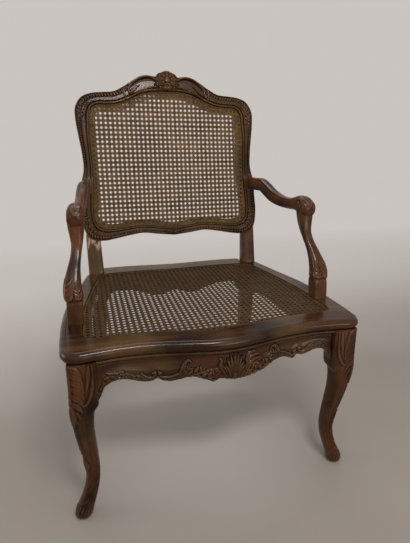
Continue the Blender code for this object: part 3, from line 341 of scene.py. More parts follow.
# Rows of small leaves in the groove inside the back's outer rim: first and last station, the way they point
FRINGES = ((14.3, 16.8, 1), (16.9, 20.1, -1), (7.6, 9.4, 1), (4.2, 6.6, -1), (1.6, 3.2, 1))
FRINGE_SPACING = 0.0078
FRINGE_WIDTH = 0.0034
FRINGE_HEIGHT = 0.0030
# A small leaf's points: stations past its base, share of the way across the frame
FRINGE_LEAF = ((0.0, 0.60), (0.05, 0.74), (0.22, 0.885))
ROSETTE_CENTRE = (0.0, 0.5580)
ROSETTE_RADIUS = 0.0275
ROSETTE_HEIGHT = 0.0115
ROSETTE_PETALS = 9
# Small beads down the outside of the back's frame
BEAD_RADIUS = 0.0024
BEAD_SPACING = 0.0062
BEAD_SPAN = (11.2, 13.9)
BEAD_SHARE = 0.76
BEAD_HALF = 0.0006

# Strokes of the front rail: distance from the cartouche's middle, height above the rail's lower edge
APRON_CARVING = (
    (((264, 29), (256, 21), (243, 15.5), (230, 17.5)), 3.4, 3, DROP),
    (((193, 19), (183, 12), (174, 8.5), (166, 11.5), (166, 17), (171, 18)), 3, 3.6, CORD),
    (((153, 17), (157.5, 15), (155, 9.5), (144, 10), (132, 12), (119, 14)), 3.2, 3.6, CORD),
    (((120, 8), (113, 19), (106, 31), (98, 38), (91.5, 34), (94, 29)), 5, 4.4, LEAF),
    (((24, 18), (31, 30), (29, 44), (35, 50)), 4.6, 5.2, LEAF),
)
# The leaves that only the right half of the front rail has
APRON_RIGHT = (
    (((29, 50), (37, 56), (48, 56), (56, 50)), 4.2, 3.4, LEAF),
    (((32, 40), (41, 46), (54, 46), (66, 40)), 5, 4.4, LEAF),
    (((30, 28), (40, 35), (52, 37), (70, 33)), 5.6, 5.4, LEAF),
)
# Lobed leaves of the front rail: path, reach, number of lobes each side, height
APRON_LEAVES = (
    (((116, 4), (106, 9), (98, 18), (93, 27)), 14, 3, 4.2),
    (((98, 3), (84, 7), (72, 15), (64, 25)), 17, 3, 5),
    (((70, 3), (56, 6), (45, 14), (38, 26)), 17, 3, 5.8),
    (((250, 6), (238, 5), (224, 6), (210, 10)), 11, 4, 3.2),
    (((212, 5), (200, 5), (189, 9)), 11, 3, 3.2),
    (((150, 3), (138, 3.5), (124, 6)), 9, 3, 3.2),
)
# The raised edge that the rail's leaves grow from: distance from its middle, height above the lower edge
APRON_RIBBON = metres((
    (0, 30), (20, 30), (34, 34), (48, 31), (58, 27), (70, 18), (84, 17), (94, 21), (102, 25), (112, 15),
    (122, 10), (140, 9), (156, 8), (162, 4), (170, 8), (184, 9), (194, 17), (206, 14), (222, 16),
    (242, 13), (258, 18), (268, 22),
))
APRON_RIBBON_HEIGHT = 0.0024
APRON_RIBBON_EDGE = 0.0042
APRON_FLUTE_PITCH = 0.0100
PALMETTE_BASE = (0.0, 0.3130)
PALMETTE_RIBS = 3
PALMETTE_SPREAD = 0.36
PALMETTE_LENGTH = 0.0680
PALMETTE_WIDTH = 0.0058
PALMETTE_HEIGHT = 0.0070
PALMETTE_TURN = (0.0022, 0.0065)
PALMETTE_DROP = (0.004, 0.016)

# Strokes of the knees: distance round the leg from its outer corner, height
KNEE_CARVING = (
    (((40.5, 386), (40, 350), (36, 322), (30, 306), (23.5, 300)), 2.6, 1.4, DROP),
    (((35, 384), (33, 356), (29, 330)), 4, 1.3, LEAF),
    (((1, 236), (1.2, 200), (1.2, 168)), 3, 1, CORD),
    (((0, 300), (0, 270), (0, 243)), 10.5, 3.4, LEAF),
    (((0, 118), (0, 140), (0, 160)), 9, 3.2, LEAF),
    (((0, 34), (0, 22), (0, 6)), 3.6, 1.1, DROP),
    (((7, 34), (7.5, 22), (6.5, 6)), 3.4, 1.1, DROP),
    (((14, 32), (15, 20), (13.5, 6)), 3.4, 1, DROP),
    (((21, 30), (22, 20), (20, 6)), 3.4, 1, DROP),
)
# Lobed leaves of the front legs: path, reach, number of lobes each side, height
KNEE_LEAVES = (
    (((0, 388), (0, 350), (0, 305), (0, 250)), 31, 8, 2),
    (((0, 40), (0, 80), (0, 120), (0, 156)), 15, 5, 1.2),
)
# Leaves of the arms' hands: distance round from the top, y
HAND_LEAVES = (
    (((0, -86), (0, -70), (0, -45), (0, -20)), 15, 6, 2),
)
# Leaves of the arm supports: distance round from the outer front corner, height
SUPPORT_LEAVES = (
    (((0, 468), (0, 480), (0, 494), (0, 508)), 23, 4, 2.2),
    (((26, 470), (26, 480), (24, 496)), 11, 3, 1.4),
)

# The pale rubbed place on the left rear post: axis, centre, reach
BARE_PLACE = (("X", -POST_X, 0.030), ("Z", 0.506, 0.028))

# Scales of the fine streaks and of the broad figure: along the grain, across it
GRAIN_SCALES = ((14.0, 420.0), (3.0, 30.0))
# Colours, linear
WALNUT_DARK = (0.0095, 0.0038, 0.0016, 1.0)
WALNUT_MID = (0.0620, 0.0265, 0.0092, 1.0)
WALNUT_RED = (0.1250, 0.0400, 0.0130, 1.0)
# Lighter colour of the raised carving: partly real wear, partly painted highlight
WALNUT_WORN_AND_HIGHLIGHT = (0.2100, 0.1080, 0.0420, 1.0)
WALNUT_GOLD = (0.0880, 0.0570, 0.0190, 1.0)
# Painted shade that darkens the hollows of the carving
CREVICE_PAINTED_SHADE = (0.0050, 0.0024, 0.0012, 1.0)
BARE_WOOD = (0.4200, 0.3200, 0.2400, 1.0)
CANE_DARK = (0.0360, 0.0195, 0.0085, 1.0)
CANE_LIGHT = (0.2050, 0.1180, 0.0450, 1.0)
# The seat's cane, darker than the back's: partly its own colour, partly painted shade for the shadowed
# floor seen through its holes
CANE_SEAT = (0.0900, 0.0500, 0.0205, 1.0)
CANE_OLIVE = (0.1500, 0.0980, 0.0300, 1.0)
# Painted light: the far paper's colours, shown as a glow rather than lit
WALL_GLOW = (0.590, 0.555, 0.525, 1.0)
WALL_GLOW_DIM = (0.500, 0.462, 0.435, 1.0)
# Painted shade: the floor's colour toward the front is darker than far off
FLOOR_NEAR_PAINTED_SHADE = (0.288, 0.256, 0.230, 1.0)
FLOOR_FAR = (0.600, 0.564, 0.535, 1.0)
# Painted light: a paler pool on the floor under the chair that lightens its shadow
FLOOR_PAINTED_LIGHT = (0.450, 0.415, 0.385, 1.0)
# Lamps: name, place, size, power, colour
LAMPS = (
    ("window", (0.1, 1.0, 2.35), (1.3, 0.3), 11, (0.94, 0.96, 1.0)),
    ("key", (0.04, -1.25, 1.82), (0.46, 0.34), 17, (1.0, 0.96, 0.95)),
    ("side", (-2.1, 0.2, 0.75), (0.9, 0.6), 9, (1.0, 0.97, 0.94)),
    ("front", (0.7, -2.2, 0.6), (1.2, 0.5), 9, (1.0, 0.95, 0.89)),
)
LAMP_TARGET = (0, -0.05, 0.5)
WORLD_COLOUR = (1.0, 0.98, 0.95, 1.0)
WORLD_STRENGTH = 0.60
# The paper sweep behind and under the chair
SWEEP_FRONT_Y = -5.0
SWEEP_BACK_Y = 4.2
SWEEP_RADIUS = 1.2
SWEEP_HEIGHT = 4.0
SWEEP_HALF_WIDTH = 7.0
SWEEP_STEPS = 16
FLOOR_DROP = 0.0005


def smooth(keys, t):
    """Reads a smooth curve through the rows of keys, whose first column is its parameter."""
    table = np.asarray(keys, float)
    knots, values = table[:, 0], table[:, 1:]
    t = np.clip(np.atleast_1d(np.asarray(t, float)), knots[0], knots[-1])
    step = np.diff(knots)[:, None]
    slope = np.diff(values, axis=0) / step
    inner = (slope[:-1] * step[1:] + slope[1:] * step[:-1]) / (step[:-1] + step[1:])
    tangent = np.vstack([slope[:1], inner, slope[-1:]])
    k = np.clip(np.searchsorted(knots, t, side="right") - 1, 0, len(knots) - 2)
    h = step[k]
    u = ((t - knots[k]) / h[:, 0])[:, None]
    return (
        (2 * u**3 - 3 * u**2 + 1) * values[k]
        + (u**3 - 2 * u**2 + u) * h * tangent[k]
        + (3 * u**2 - 2 * u**3) * values[k + 1]
        + (u**3 - u**2) * h * tangent[k + 1]
    )


def mirrored(keys):
    """Adds the mirror image of half a curve, given from its middle outwards, on the other side of 0."""
    return [(-row[0], *row[1:]) for row in reversed(keys[1:])] + list(keys)


def outline_loop(half, spacing):
    """Closes half an outline over X 0 and rounds it, with a point about every spacing."""
    half = np.asarray(half, float)
    whole = np.vstack([half, half[-2:0:-1] * (-1, 1)])
    padded = np.vstack([whole[-2:], whole, whole[:3]])
    along = np.concatenate([[0], np.cumsum(np.linalg.norm(np.diff(padded, axis=0), axis=1))])
    start, end = along[2], along[2 + len(whole)]
    count = max(16, round((end - start) / spacing))
    stops = np.linspace(start, end, count, endpoint=False)
    return smooth(np.column_stack([along, padded]), stops)


def inward(loop):
    """The inward direction at each point of a closed outline that runs anticlockwise."""
    along = np.roll(loop, -1, axis=0) - np.roll(loop, 1, axis=0)
    normal = np.column_stack([-along[:, 1], along[:, 0]])
    return normal / np.linalg.norm(normal, axis=1)[:, None]


def inset(loop, distance):
    """Moves a closed outline inwards by a distance."""
    return loop + inward(loop) * distance


def bump(value, centre, width):
    """A smooth hill of height 1 round a centre."""
    return np.exp(-(((value - centre) / width) ** 2))


def superellipse(count, power):
    """A rounded square ring of unit half width, from its +X side round to +Y, with its angles."""
    angle = np.linspace(0, 2 * math.pi, count, endpoint=False) + math.pi / count
    c, s = np.cos(angle), np.sin(angle)
    radius = (np.abs(c) ** power + np.abs(s) ** power) ** (-1 / power)
    return np.column_stack([c * radius, s * radius]), angle


def lip_front(x):
    """The seat lip's front edge at x."""
    front = [row for row in LIP_OUTLINE if row[1] < LIP_FRONT_Y and row[0] < LIP_FRONT_END_X]
    return smooth(mirrored(front), x)[:, 0]


def lip_side(y):
    """The seat lip's side edge at y."""
    side = [(y, x) for x, y in LIP_OUTLINE if x > LIP_SIDE_START_X and LIP_FRONT_Y < y < LIP_REAR_Y]
    return smooth(side, y)[:, 0]


def even_stations(keys, start, end, spacing):
    """Parameters of a curve between two ends, about evenly spaced along its first two values."""
    fine = np.linspace(start, end, 2000)
    places = smooth(keys, np.abs(fine))[:, :2]
    along = np.concatenate([[0], np.cumsum(np.linalg.norm(np.diff(places, axis=0), axis=1))])
    count = max(3, int(along[-1] / spacing))
    return np.interp(np.linspace(0, along[-1], count), along, fine)


def rake_matrix():
    """Takes the back's own plane, x, depth and height up the slope, to the chair's space."""
    return Matrix.Translation((0, RAKE_PIVOT_Y, SEAT_HEIGHT)) @ Matrix.Rotation(-RAKE, 4, "X")


def raked(points):
    """Points of the back's own plane, given as x, n, s, in the chair's space."""
    m = np.array(rake_matrix())
    return np.asarray(points, float) @ m[:3, :3].T + m[:3, 3]


# Carving


def stroke_line(path, count=36):
    """A smooth line through a stroke's points."""
    path = np.asarray(path, float)
    keys = np.column_stack([np.arange(len(path)), path])
    return smooth(keys, np.linspace(0, len(path) - 1, count))


def stroke_width(form, t):
    """The share of its full width that a stroke has at each part of its length."""
    if form == CORD:
        return np.ones_like(t)
    if form == DROP:
        return 0.35 + 0.65 * np.sin(np.clip(t, 0, 1) * math.pi * 0.72)
    rising = 0.45 + 0.55 * np.sin(np.clip(t / 0.40, 0, 1) * math.pi / 2)
    falling = np.clip((1 - t) / 0.62, 0, 1) ** 0.75
    return np.clip(np.minimum(rising, falling), 0.05, 1)


def carve(points, strokes):
    """How high the carving stands at flat points: at each, the highest stroke that covers it."""
    flat = np.asarray(points, float).reshape(-1, 2)
    height = np.zeros(len(flat))
    for path, width, lift, form in strokes:
        line = stroke_line(path)
        low, high = line.min(axis=0) - width * 1.2, line.max(axis=0) + width * 1.2
        near = np.flatnonzero(np.all((flat > low) & (flat < high), axis=1))
        if not len(near):
            continue
        start, step = line[:-1], np.diff(line, axis=0)
        offset = flat[near][:, None] - start[None]
        share = np.einsum("psk,sk->ps", offset, step) / np.maximum((step**2).sum(axis=1), 1e-14)
        share = np.clip(share, 0, 1)
        apart = np.linalg.norm(offset - share[..., None] * step, axis=2)
        closest = apart.argmin(axis=1)
        rows = np.arange(len(near))
        t = (closest + share[rows, closest]) / len(start)
        across = apart[rows, closest] / (width * stroke_width(form, t))
        dome = np.clip(1 - across**2, 0, 1) ** (0.8 if form == LEAF else 0.6)
        if form == LEAF:
            vein = 0.40 * np.exp(-((across / 0.20) ** 2)) * (1 - t)
            dome = dome * (1 - vein) * (0.62 + 0.38 * np.sin(np.clip(t * 1.1 + 0.1, 0, 1) * math.pi))
        height[near] = np.maximum(height[near], lift * dome)
    return height.reshape(np.asarray(points).shape[:-1])


def both_sides(strokes):
    """Strokes of carving and their mirror images."""
    flipped = [(tuple((-x, y) for x, y in path), *rest) for path, *rest in strokes]
    return strokes + flipped


def strokes_of(rows):
    """Strokes of carving in metres, from rows in millimetres."""
    return [(metres(path), width / 1000, height / 1000, form) for path, width, height, form in rows]


def lobed_leaf(path, reach, count, lift):
    """The strokes of an acanthus leaf: its body, the lobes that lean toward its tip, and its rib."""
    line = stroke_line(path, 4 * count + 1)
    strokes = [(path, reach * 0.50, lift * 0.5, LEAF)]
    for i in range(count):
        t = (i + 0.2) / count
        k = min(int(t * (len(line) - 1)), len(line) - 2)
        toward = line[k + 1] - line[k]
        toward = toward / np.linalg.norm(toward)
        size = reach * math.sin(math.pi * (0.30 + 0.62 * t))
        for sign in (1, -1):
            side = np.array([-toward[1], toward[0]]) * sign
            base = line[k]
            middle = base + size * (0.46 * toward + 0.50 * side)
            tip = base + size * (1.05 * toward + 0.82 * side)
            strokes.append(((base, middle, tip), size * 0.30, lift * (1 - 0.25 * t), LEAF))
    strokes.append((path, reach * 0.13, lift * 1.05, LEAF))
    return strokes


def leaves(rows):
    """The strokes of several lobed leaves, from rows in millimetres."""
    strokes = []
    for path, reach, count, height in rows:
        strokes += lobed_leaf(metres(path), reach / 1000, count, height / 1000)
    return strokes


def palmette():
    """The narrow leaves of the front rail's palmette, which rise from a base and turn out at their tips."""
    strokes = []
    for i in range(-PALMETTE_RIBS, PALMETTE_RIBS + 1):
        share = i / PALMETTE_RIBS
        angle = PALMETTE_SPREAD * share
        reach = PALMETTE_LENGTH * (1 - 0.34 * share**2) * np.array([math.sin(angle), math.cos(angle)])
        start = reach * 0.16 + PALMETTE_BASE
        middle = reach * 0.55 + PALMETTE_BASE + (PALMETTE_TURN[0] * share, 0)
        end = reach + PALMETTE_BASE + (PALMETTE_TURN[1] * share, 0)
        lift = PALMETTE_HEIGHT * (1 - 0.2 * abs(share))
        strokes.append(((start, middle, end), PALMETTE_WIDTH, lift, LEAF))
    x, z = PALMETTE_BASE
    drop = [(x, z + rise) for rise in PALMETTE_DROP]
    strokes.append((drop, PALMETTE_WIDTH * 1.25, PALMETTE_HEIGHT, DROP))
    return strokes


def ribbon(across, above):
    """The raised lower edge of the front rail, fluted like leaves lying over each other."""
    top = smooth(mirrored(APRON_RIBBON), across.ravel())[:, 0].reshape(across.shape)
    inside = np.clip((top - above) / APRON_RIBBON_EDGE, 0, 1)
    phase = (np.abs(across) - 0.55 * above) / APRON_FLUTE_PITCH
    flute = np.abs(np.cos(math.pi * phase)) ** 6
    return APRON_RIBBON_HEIGHT * np.sin(inside * math.pi / 2) * (1 - 0.42 * flute)


def rosette(points):
    """The height of the crest's round flower."""
    offset = points - np.array(ROSETTE_CENTRE)
    radius = np.linalg.norm(offset, axis=-1) / ROSETTE_RADIUS
    angle = np.arctan2(offset[..., 0], offset[..., 1])
    dome = ROSETTE_HEIGHT * np.clip(1 - radius**2, 0, 1) ** 0.45
    petals = np.abs(np.cos(angle * ROSETTE_PETALS / 2)) ** 0.55
    cut = 0.30 * (1 - petals) * np.clip((radius - 0.30) / 0.25, 0, 1)
    ring = 0.22 * np.exp(-(((radius - 0.36) / 0.07) ** 2))
    return dome * (1 - cut - ring)


def crevices(height, reach):
    """How far each point of a grid of heights stands above or below its surroundings, from 1 to -1."""
    blurred = height.astype(float)
    for axis in (0, 1):
        for _ in range(reach):
            blurred = (np.roll(blurred, 1, axis) + blurred + np.roll(blurred, -1, axis)) / 3
    return np.clip((height - blurred) / CREVICE_STEP, -1, 1)


# Meshes


def add_object(name, data):
    """A new object in the scene."""
    obj = bpy.data.objects.new(name, data)
    bpy.context.scene.collection.objects.link(obj)
    return obj


class Chair:
    """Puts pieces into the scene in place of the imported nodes."""

    def __init__(self, shift_y):
        self.shift = Vector((0, shift_y, 0))
        self.finishes = {}

    def dress(self, obj, finish, node, slot="walnut"):
        """Gives a piece its finish, and lets it stand for its node."""
        obj.data.materials.clear()
        obj.data.materials.append(self.finishes[finish])
        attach(obj, "root")
        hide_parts(node)

    def mesh_piece(self, name, points, faces, finish, node, slot="walnut", sharp=WOOD_SHARP):
        """A piece from points and faces."""
        mesh = bpy.data.meshes.new(name)
        points = np.asarray(points, float) + np.array(self.shift)
        mesh.from_pydata(points.tolist(), [], faces)
        mesh.update()
        mesh.shade_smooth()
        mesh.set_sharp_from_angle(angle=math.radians(sharp))
        obj = add_object(name, mesh)
        self.dress(obj, finish, node, slot)
        return obj

    def loft(self, name, rings, finish, node, relief=None, across=(1, 0, 0)):
        """A closed piece through rings of points, with its grain and its carved relief as attributes."""
        rings = np.asarray(rings, float)
        count, size = rings.shape[:2]
        faces = ring_quads(count, size)
        caps = [tuple(range(size))[::-1], tuple((count - 1) * size + v for v in range(size))]
        if ring_volume(rings) < 0:
            faces = faces[:, ::-1]
            caps = [cap[::-1] for cap in caps]
        obj = self.mesh_piece(name, rings.reshape(-1, 3), faces.tolist() + caps, finish, node)
        store(obj.data, "grain", grain_coordinates(rings, across).reshape(-1, 3))
        if relief is None:
            relief = np.zeros((count, size))
        store(obj.data, "relief", relief.reshape(-1))


def ring_quads(count, size):
    """The quads between closed rings of points."""
    i, j = np.meshgrid(np.arange(count - 1), np.arange(size), indexing="ij")
    k = (j + 1) % size
    quads = np.stack([i * size + j, i * size + k, (i + 1) * size + k, (i + 1) * size + j], axis=-1)
    return quads.reshape(-1, 4)


def ring_volume(rings):
    """Signed volume of a loft, which tells whether its faces point out."""
    centre = rings.mean(axis=(0, 1))
    a, b = rings[:-1] - centre, rings[1:] - centre
    a_next, b_next = np.roll(a, -1, axis=1), np.roll(b, -1, axis=1)
    return float(np.sum(np.cross(a, a_next) * b) + np.sum(np.cross(a_next, b_next) * b))


def grain_coordinates(rings, across):
    """For each point: its place across the wood twice, then its distance along the grain."""
    centres = rings.mean(axis=1)
    steps = np.gradient(centres, axis=0)
    length = np.linalg.norm(steps, axis=1)
    tangent = steps / np.maximum(length, 1e-9)[:, None]
    side = np.cross(tangent, np.asarray(across, float))
    side /= np.maximum(np.linalg.norm(side, axis=1), 1e-9)[:, None]
    other = np.cross(side, tangent)
    offset = rings - centres[:, None]
    along = np.cumsum(length)
    u = np.einsum("ijk,ik->ij", offset, side)
    v = np.einsum("ijk,ik->ij", offset, other)
    w = along[:, None] + np.einsum("ijk,ik->ij", offset, tangent)
    return np.stack([u, v, w], axis=-1)


def store(mesh, name, values):
    """Stores a number or a vector at each point of a mesh."""
    values = np.asarray(values, np.float32)
    kind, field = ("FLOAT_VECTOR", "vector") if values.ndim == 2 else ("FLOAT", "value")
    mesh.attributes.new(name, kind, "POINT").data.foreach_set(field, values.reshape(-1))


# The back


def frame_profile(inner, shares):
    """How deep the frame's face lies behind its front at each share of its width, at each station."""
    moulding = smooth(MOULDING, shares)[:, 0]
    scoop = smooth(SCOOP, shares)[:, 0]
    across = np.abs(inner[:, 0])
    low, high = SCOOP_SPAN
    rise = np.clip((across - low) / SCOOP_EDGE, 0, 1) * np.clip((high - across) / SCOOP_EDGE, 0, 1)
    rise = rise * (inner[:, 1] > SCOOP_FLOOR_S)
    weight = (rise * rise * (3 - 2 * rise))[:, None]
    return moulding[None] * (1 - weight) + scoop[None] * weight


def back_rings(stations, side, strokes):
    """Rings round the back's frame, and how far its carving stands out at each point."""
    rows = smooth(BACK_LOOP, np.abs(stations))
    turn = np.where(stations < 0, -1.0, 1.0)[:, None]
    outer = rows[:, 0:2] * np.hstack([side * turn, np.ones_like(turn)])
    inner = rows[:, 2:4] * np.hstack([side * turn, np.ones_like(turn)])
    toward = (inner - outer) / np.linalg.norm(inner - outer, axis=1)[:, None]
    shares = np.linspace(0, 1, FACE_POINTS)
    face = inner[:, None] + (outer - inner)[:, None] * shares[None, :, None]
    pad = np.exp(-(((face[..., 1] - ARM_ROOT_S) / ARM_PAD_HALF) ** 6)) * (np.abs(face[..., 0]) > ARM_PAD_X)
    flower = rosette(face)
    carved = np.maximum(carve(face, strokes), flower)
    base = frame_profile(inner, shares) * (1 - pad)
    level = np.minimum(base, CARVING_BED)
    share = np.clip(carved / CARVING_REACH, 0, 1)
    depth = base * (1 - share) + level * share - carved * (1 - pad)
    spill = carved[:, -1:] * 0.30
    face = face + (-toward * spill)[:, None] * (shares[None, :, None] ** 6)
    face_points = np.concatenate([face, depth[..., None]], axis=-1)
    opening = inner + toward * CANE_LEDGE

    def column(place, level):
        return np.column_stack([place, np.full(len(place), level)])[:, None]

    edge = face[:, -1]
    parts = [column(opening, BACK_THICKNESS), column(opening, LEDGE_DEPTH), column(inner, LEDGE_DEPTH)]
    parts.append(face_points)
    parts += [column(edge + toward * way_in, BACK_THICKNESS - before) for before, way_in in BACK_EDGE]
    ring = np.concatenate(parts, axis=1)
    relief = np.zeros(ring.shape[:2])
    relief[:, 3 : 3 + len(shares)] = crevices(-depth, 3)
    points = raked(ring[..., [0, 2, 1]])
    return points, relief


def across_frame(t, share):
    """A point of the back's face, at a share of the way from the frame's inner edge to its outer edge."""
    outer_x, outer_s, inner_x, inner_s = smooth(BACK_LOOP, t)[0]
    return np.array([inner_x + (outer_x - inner_x) * share, inner_s + (outer_s - inner_s) * share])


def fringe_strokes():
    """The rows of small leaves inside the outer rim."""
    strokes = []
    for start, end, turn in FRINGES:
        for t in even_stations(BACK_LOOP, start, end, FRINGE_SPACING):
            path = [across_frame(t + turn * step, share) for step, share in FRINGE_LEAF]
            strokes.append((path, FRINGE_WIDTH, FRINGE_HEIGHT, LEAF))
    return strokes


def bead_strokes():
    """Beads down the outside of the back's frame, from its corners toward the arms."""
    strokes = []
    for t in even_stations(BACK_LOOP, *BEAD_SPAN, BEAD_SPACING):
        x, s = across_frame(t, BEAD_SHARE)
        strokes.append((((x, s - BEAD_HALF), (x, s + BEAD_HALF)), BEAD_RADIUS, BEAD_RADIUS * 1.2, CORD))
    return strokes


def back_strokes():
    """All the carving of the back's frame but its rosette."""
    return both_sides(strokes_of(CREST_CARVING) + leaves(CREST_LEAVES) + bead_strokes() + fringe_strokes())


def make_back(chair):
    """The crest, the sides and the lower rail of the back's frame."""
    strokes = back_strokes()
    half = even_stations(BACK_LOOP, CREST_START, LOOP_END, CREST_STEP)
    right, right_relief = back_rings(half, 1, strokes)
    left, left_relief = back_rings(half, -1, strokes)
    rings = np.concatenate([right, left[-2::-1]])
    relief = np.concatenate([right_relief, left_relief[-2::-1]])
    chair.loft("crest", rings, "wood", "crest_rail", relief, across=(0, 1, 0))
    for side, word in ((-1, "left"), (1, "right")):
        ends = (LOWER_RAIL_END + JOINT_STEP, CREST_START - JOINT_STEP)
        stations = even_stations(BACK_LOOP, *ends, STILE_STEP)
        rings, relief = back_rings(stations, side, strokes)
        chair.loft(f"back_stile_{word}", rings, "wood", f"rear_leg_{word}", relief, across=(0, 1, 0))
    stations = even_stations(BACK_LOOP, 0, LOWER_RAIL_END, STILE_STEP)
    stations = np.concatenate([-stations[:0:-1], stations])
    rings, relief = back_rings(stations, 1, strokes)
    chair.loft("lower_back", rings, "wood", "lower_back_rail", relief, across=(0, 1, 0))


def make_rear_post(chair, side, word):
    """A rear leg, up to where the moulded side of the back begins."""
    count, size = POST_MESH
    unit, _ = superellipse(size, POST_ROUNDNESS)
    levels = np.linspace(0, SEAT_HEIGHT, count)
    rings = []
    for z, (x, y, half_x, half_y) in zip(levels, smooth(REAR_LEG, levels)):
        rings.append(np.column_stack([unit * (half_x, half_y) + (side * x, y), np.full(size, z)]))
    for s in np.linspace(POST_START, POST_TOP + POST_OVERLAP, POST_RINGS):
        close = np.clip((s - POST_TOP + POST_SHOULDER) / (POST_SHOULDER + POST_OVERLAP), 0, 1)
        shoulder = math.sqrt(1 - 0.75 * close**2)
        share = s / POST_TOP
        flat = unit * (POST_HALF_X - POST_TAPER_X * share, POST_HALF_Y - POST_TAPER_Y * share) * shoulder
        flat = flat + (side * (POST_X + POST_LEAN * share), POST_HALF_Y + POST_SETBACK)
        rings.append(raked(np.column_stack([flat, np.full(size, s)])))
    chair.loft(f"rear_post_{word}", rings, "wood_post", f"rear_leg_{word}")


# Legs, arms and their supports


def carved_post(levels, table, strokes, count, side, swell=None):
    """Rings of a post whose strokes are laid out round its front corner, with the height of its carving."""
    places, bases, normals = [], [], []
    for z, row in zip(levels, table):
        x, y, half_x, half_y, power = row
        unit, angle = superellipse(count, power)
        ring = unit * (half_x, half_y)
        turned = (angle + math.pi / 4 + math.pi) % (2 * math.pi) - math.pi
        places.append(np.column_stack([turned * max(half_x, half_y) * 1.05, np.full(count, z)]))
        normals.append(-inward(ring))
        if swell is not None:
            ring = ring + swell(z, unit, x, y, half_x, half_y)
        bases.append(ring + (x, y))
    height = carve(np.array(places), strokes)
    flat = np.array(bases) + np.array(normals) * height[..., None]
    heights = np.repeat(np.asarray(levels)[:, None, None], count, axis=1)
    rings = np.concatenate([flat * (side, 1), heights], axis=-1)
    return rings, height


def leg_shoulder(z, unit, x, y, half_x, half_y):
    """How far a front leg spreads inwards under the ends of its two rails."""
    rise = min(max((z - LEG_SHOULDER_START) / LEG_SHOULDER_HEIGHT, 0), 1)
    share = rise * rise * (3 - 2 * rise)
    inner = x - half_x - (LEG_BLOCK_X - LEG_BLOCK_HALF) + LEG_SHOULDER_PROUD
    rear = (LEG_BLOCK_Y + LEG_BLOCK_HALF) - (y + half_y)
    across = -max(inner, 0) * share * np.clip(-unit[:, 0], 0, 1) ** 2
    back = max(rear, 0) * share * np.clip(unit[:, 1], 0, 1) ** 2
    return np.column_stack([across, back])


def make_front_leg(chair, side, word):
    """A cabriole leg with a leaf on its knee and a leafy scrolled foot."""
    count, size = LEG_MESH
    levels = np.linspace(0, FRONT_LEG[-1][0], count)
    table = smooth(FRONT_LEG, levels)[:, [0, 1, 2, 2, 3]]
    strokes = both_sides(strokes_of(KNEE_CARVING)) + both_sides(leaves(KNEE_LEAVES))
    rings, height = carved_post(levels, table, strokes, size, side, leg_shoulder)
    chair.loft(f"front_leg_{word}_carved", rings, "wood_leg", f"front_leg_{word}", crevices(height, 4))


def make_arm_support(chair, side, word):
    """The curved post that carries an arm's hand and runs up into it, with a leaf round its swelling."""
    count, size = SUPPORT_MESH
    levels = np.linspace(ARM_SUPPORT[0][0], ARM_SUPPORT[-1][0], count)
    strokes = both_sides(leaves(SUPPORT_LEAVES))
    rings, height = carved_post(levels, smooth(ARM_SUPPORT, levels), strokes, size, side)
    name = f"arm_support_{word}"
    chair.loft(f"{name}_carved", rings, "wood_arm", name, crevices(height, 4))


def make_arm(chair, side, word):
    """An arm with a scrolled hand, a leaf laid over it and two fine grooves along it."""
    count, size = ARM_MESH
    unit, angle = superellipse(size, ARM_ROUNDNESS)
    rows = sorted(ARM)
    body = np.linspace(ARM[0][0], ARM_TIP_START, count)
    tip = np.linspace(ARM_TIP_START - ARM_TIP_STEP, ARM[-1][0], ARM_TIP_RINGS)
    stops = np.concatenate([body, tip])
    flat = unit * ARM_ROOT_HALF + (ARM_ROOT_X, ARM_ROOT_S)
    root = raked([(x, -JOINT_GAP, s) for x, s in flat])
    from_top = (angle - math.pi / 2 + math.pi) % (2 * math.pi) - math.pi
    places = np.stack(np.meshgrid(stops, from_top * HAND_RADIUS, indexing="ij")[::-1], axis=-1)
    leaf = carve(places, both_sides(leaves(HAND_LEAVES)))
    (start, end), fade = ARM_GROOVE_SPAN, ARM_GROOVE_FADE
    rings, heights = [root * (side, 1, 1)], [np.zeros(len(angle))]
    for k, (y, (x, z, half_x, half_z)) in enumerate(zip(stops, smooth(rows, stops))):
        shares = np.clip(((y - start) / fade[0], (end - y) / fade[1]), 0, 1)
        groove = bump(np.abs(from_top), ARM_GROOVE_ANGLE, ARM_GROOVE_WIDTH)
        groove = groove * ARM_GROOVE_DEPTH * shares[0] * shares[1]
        eye = np.hypot(y - HAND_EYE_Y, (np.abs(from_top) - math.pi / 2) * HAND_EYE_RADIUS)
        cut = sum(depth * bump(eye, radius, width) for depth, radius, width in HAND_RINGS)
        height = leaf[k] * HAND_LEAF_SHARE - groove - cut
        ring = unit * (half_x, half_z)
        normal = unit / np.linalg.norm(unit, axis=1)[:, None]
        ring = ring + normal * height[:, None]
        rings.append(np.column_stack([side * (x + ring[:, 0]), np.full(len(unit), y), z + ring[:, 1]]))
        heights.append(height)
    relief = crevices(np.array(heights), 4)
    chair.loft(f"arm_{word}_carved", rings, "wood_arm", f"arm_{word}", relief)


# Rails


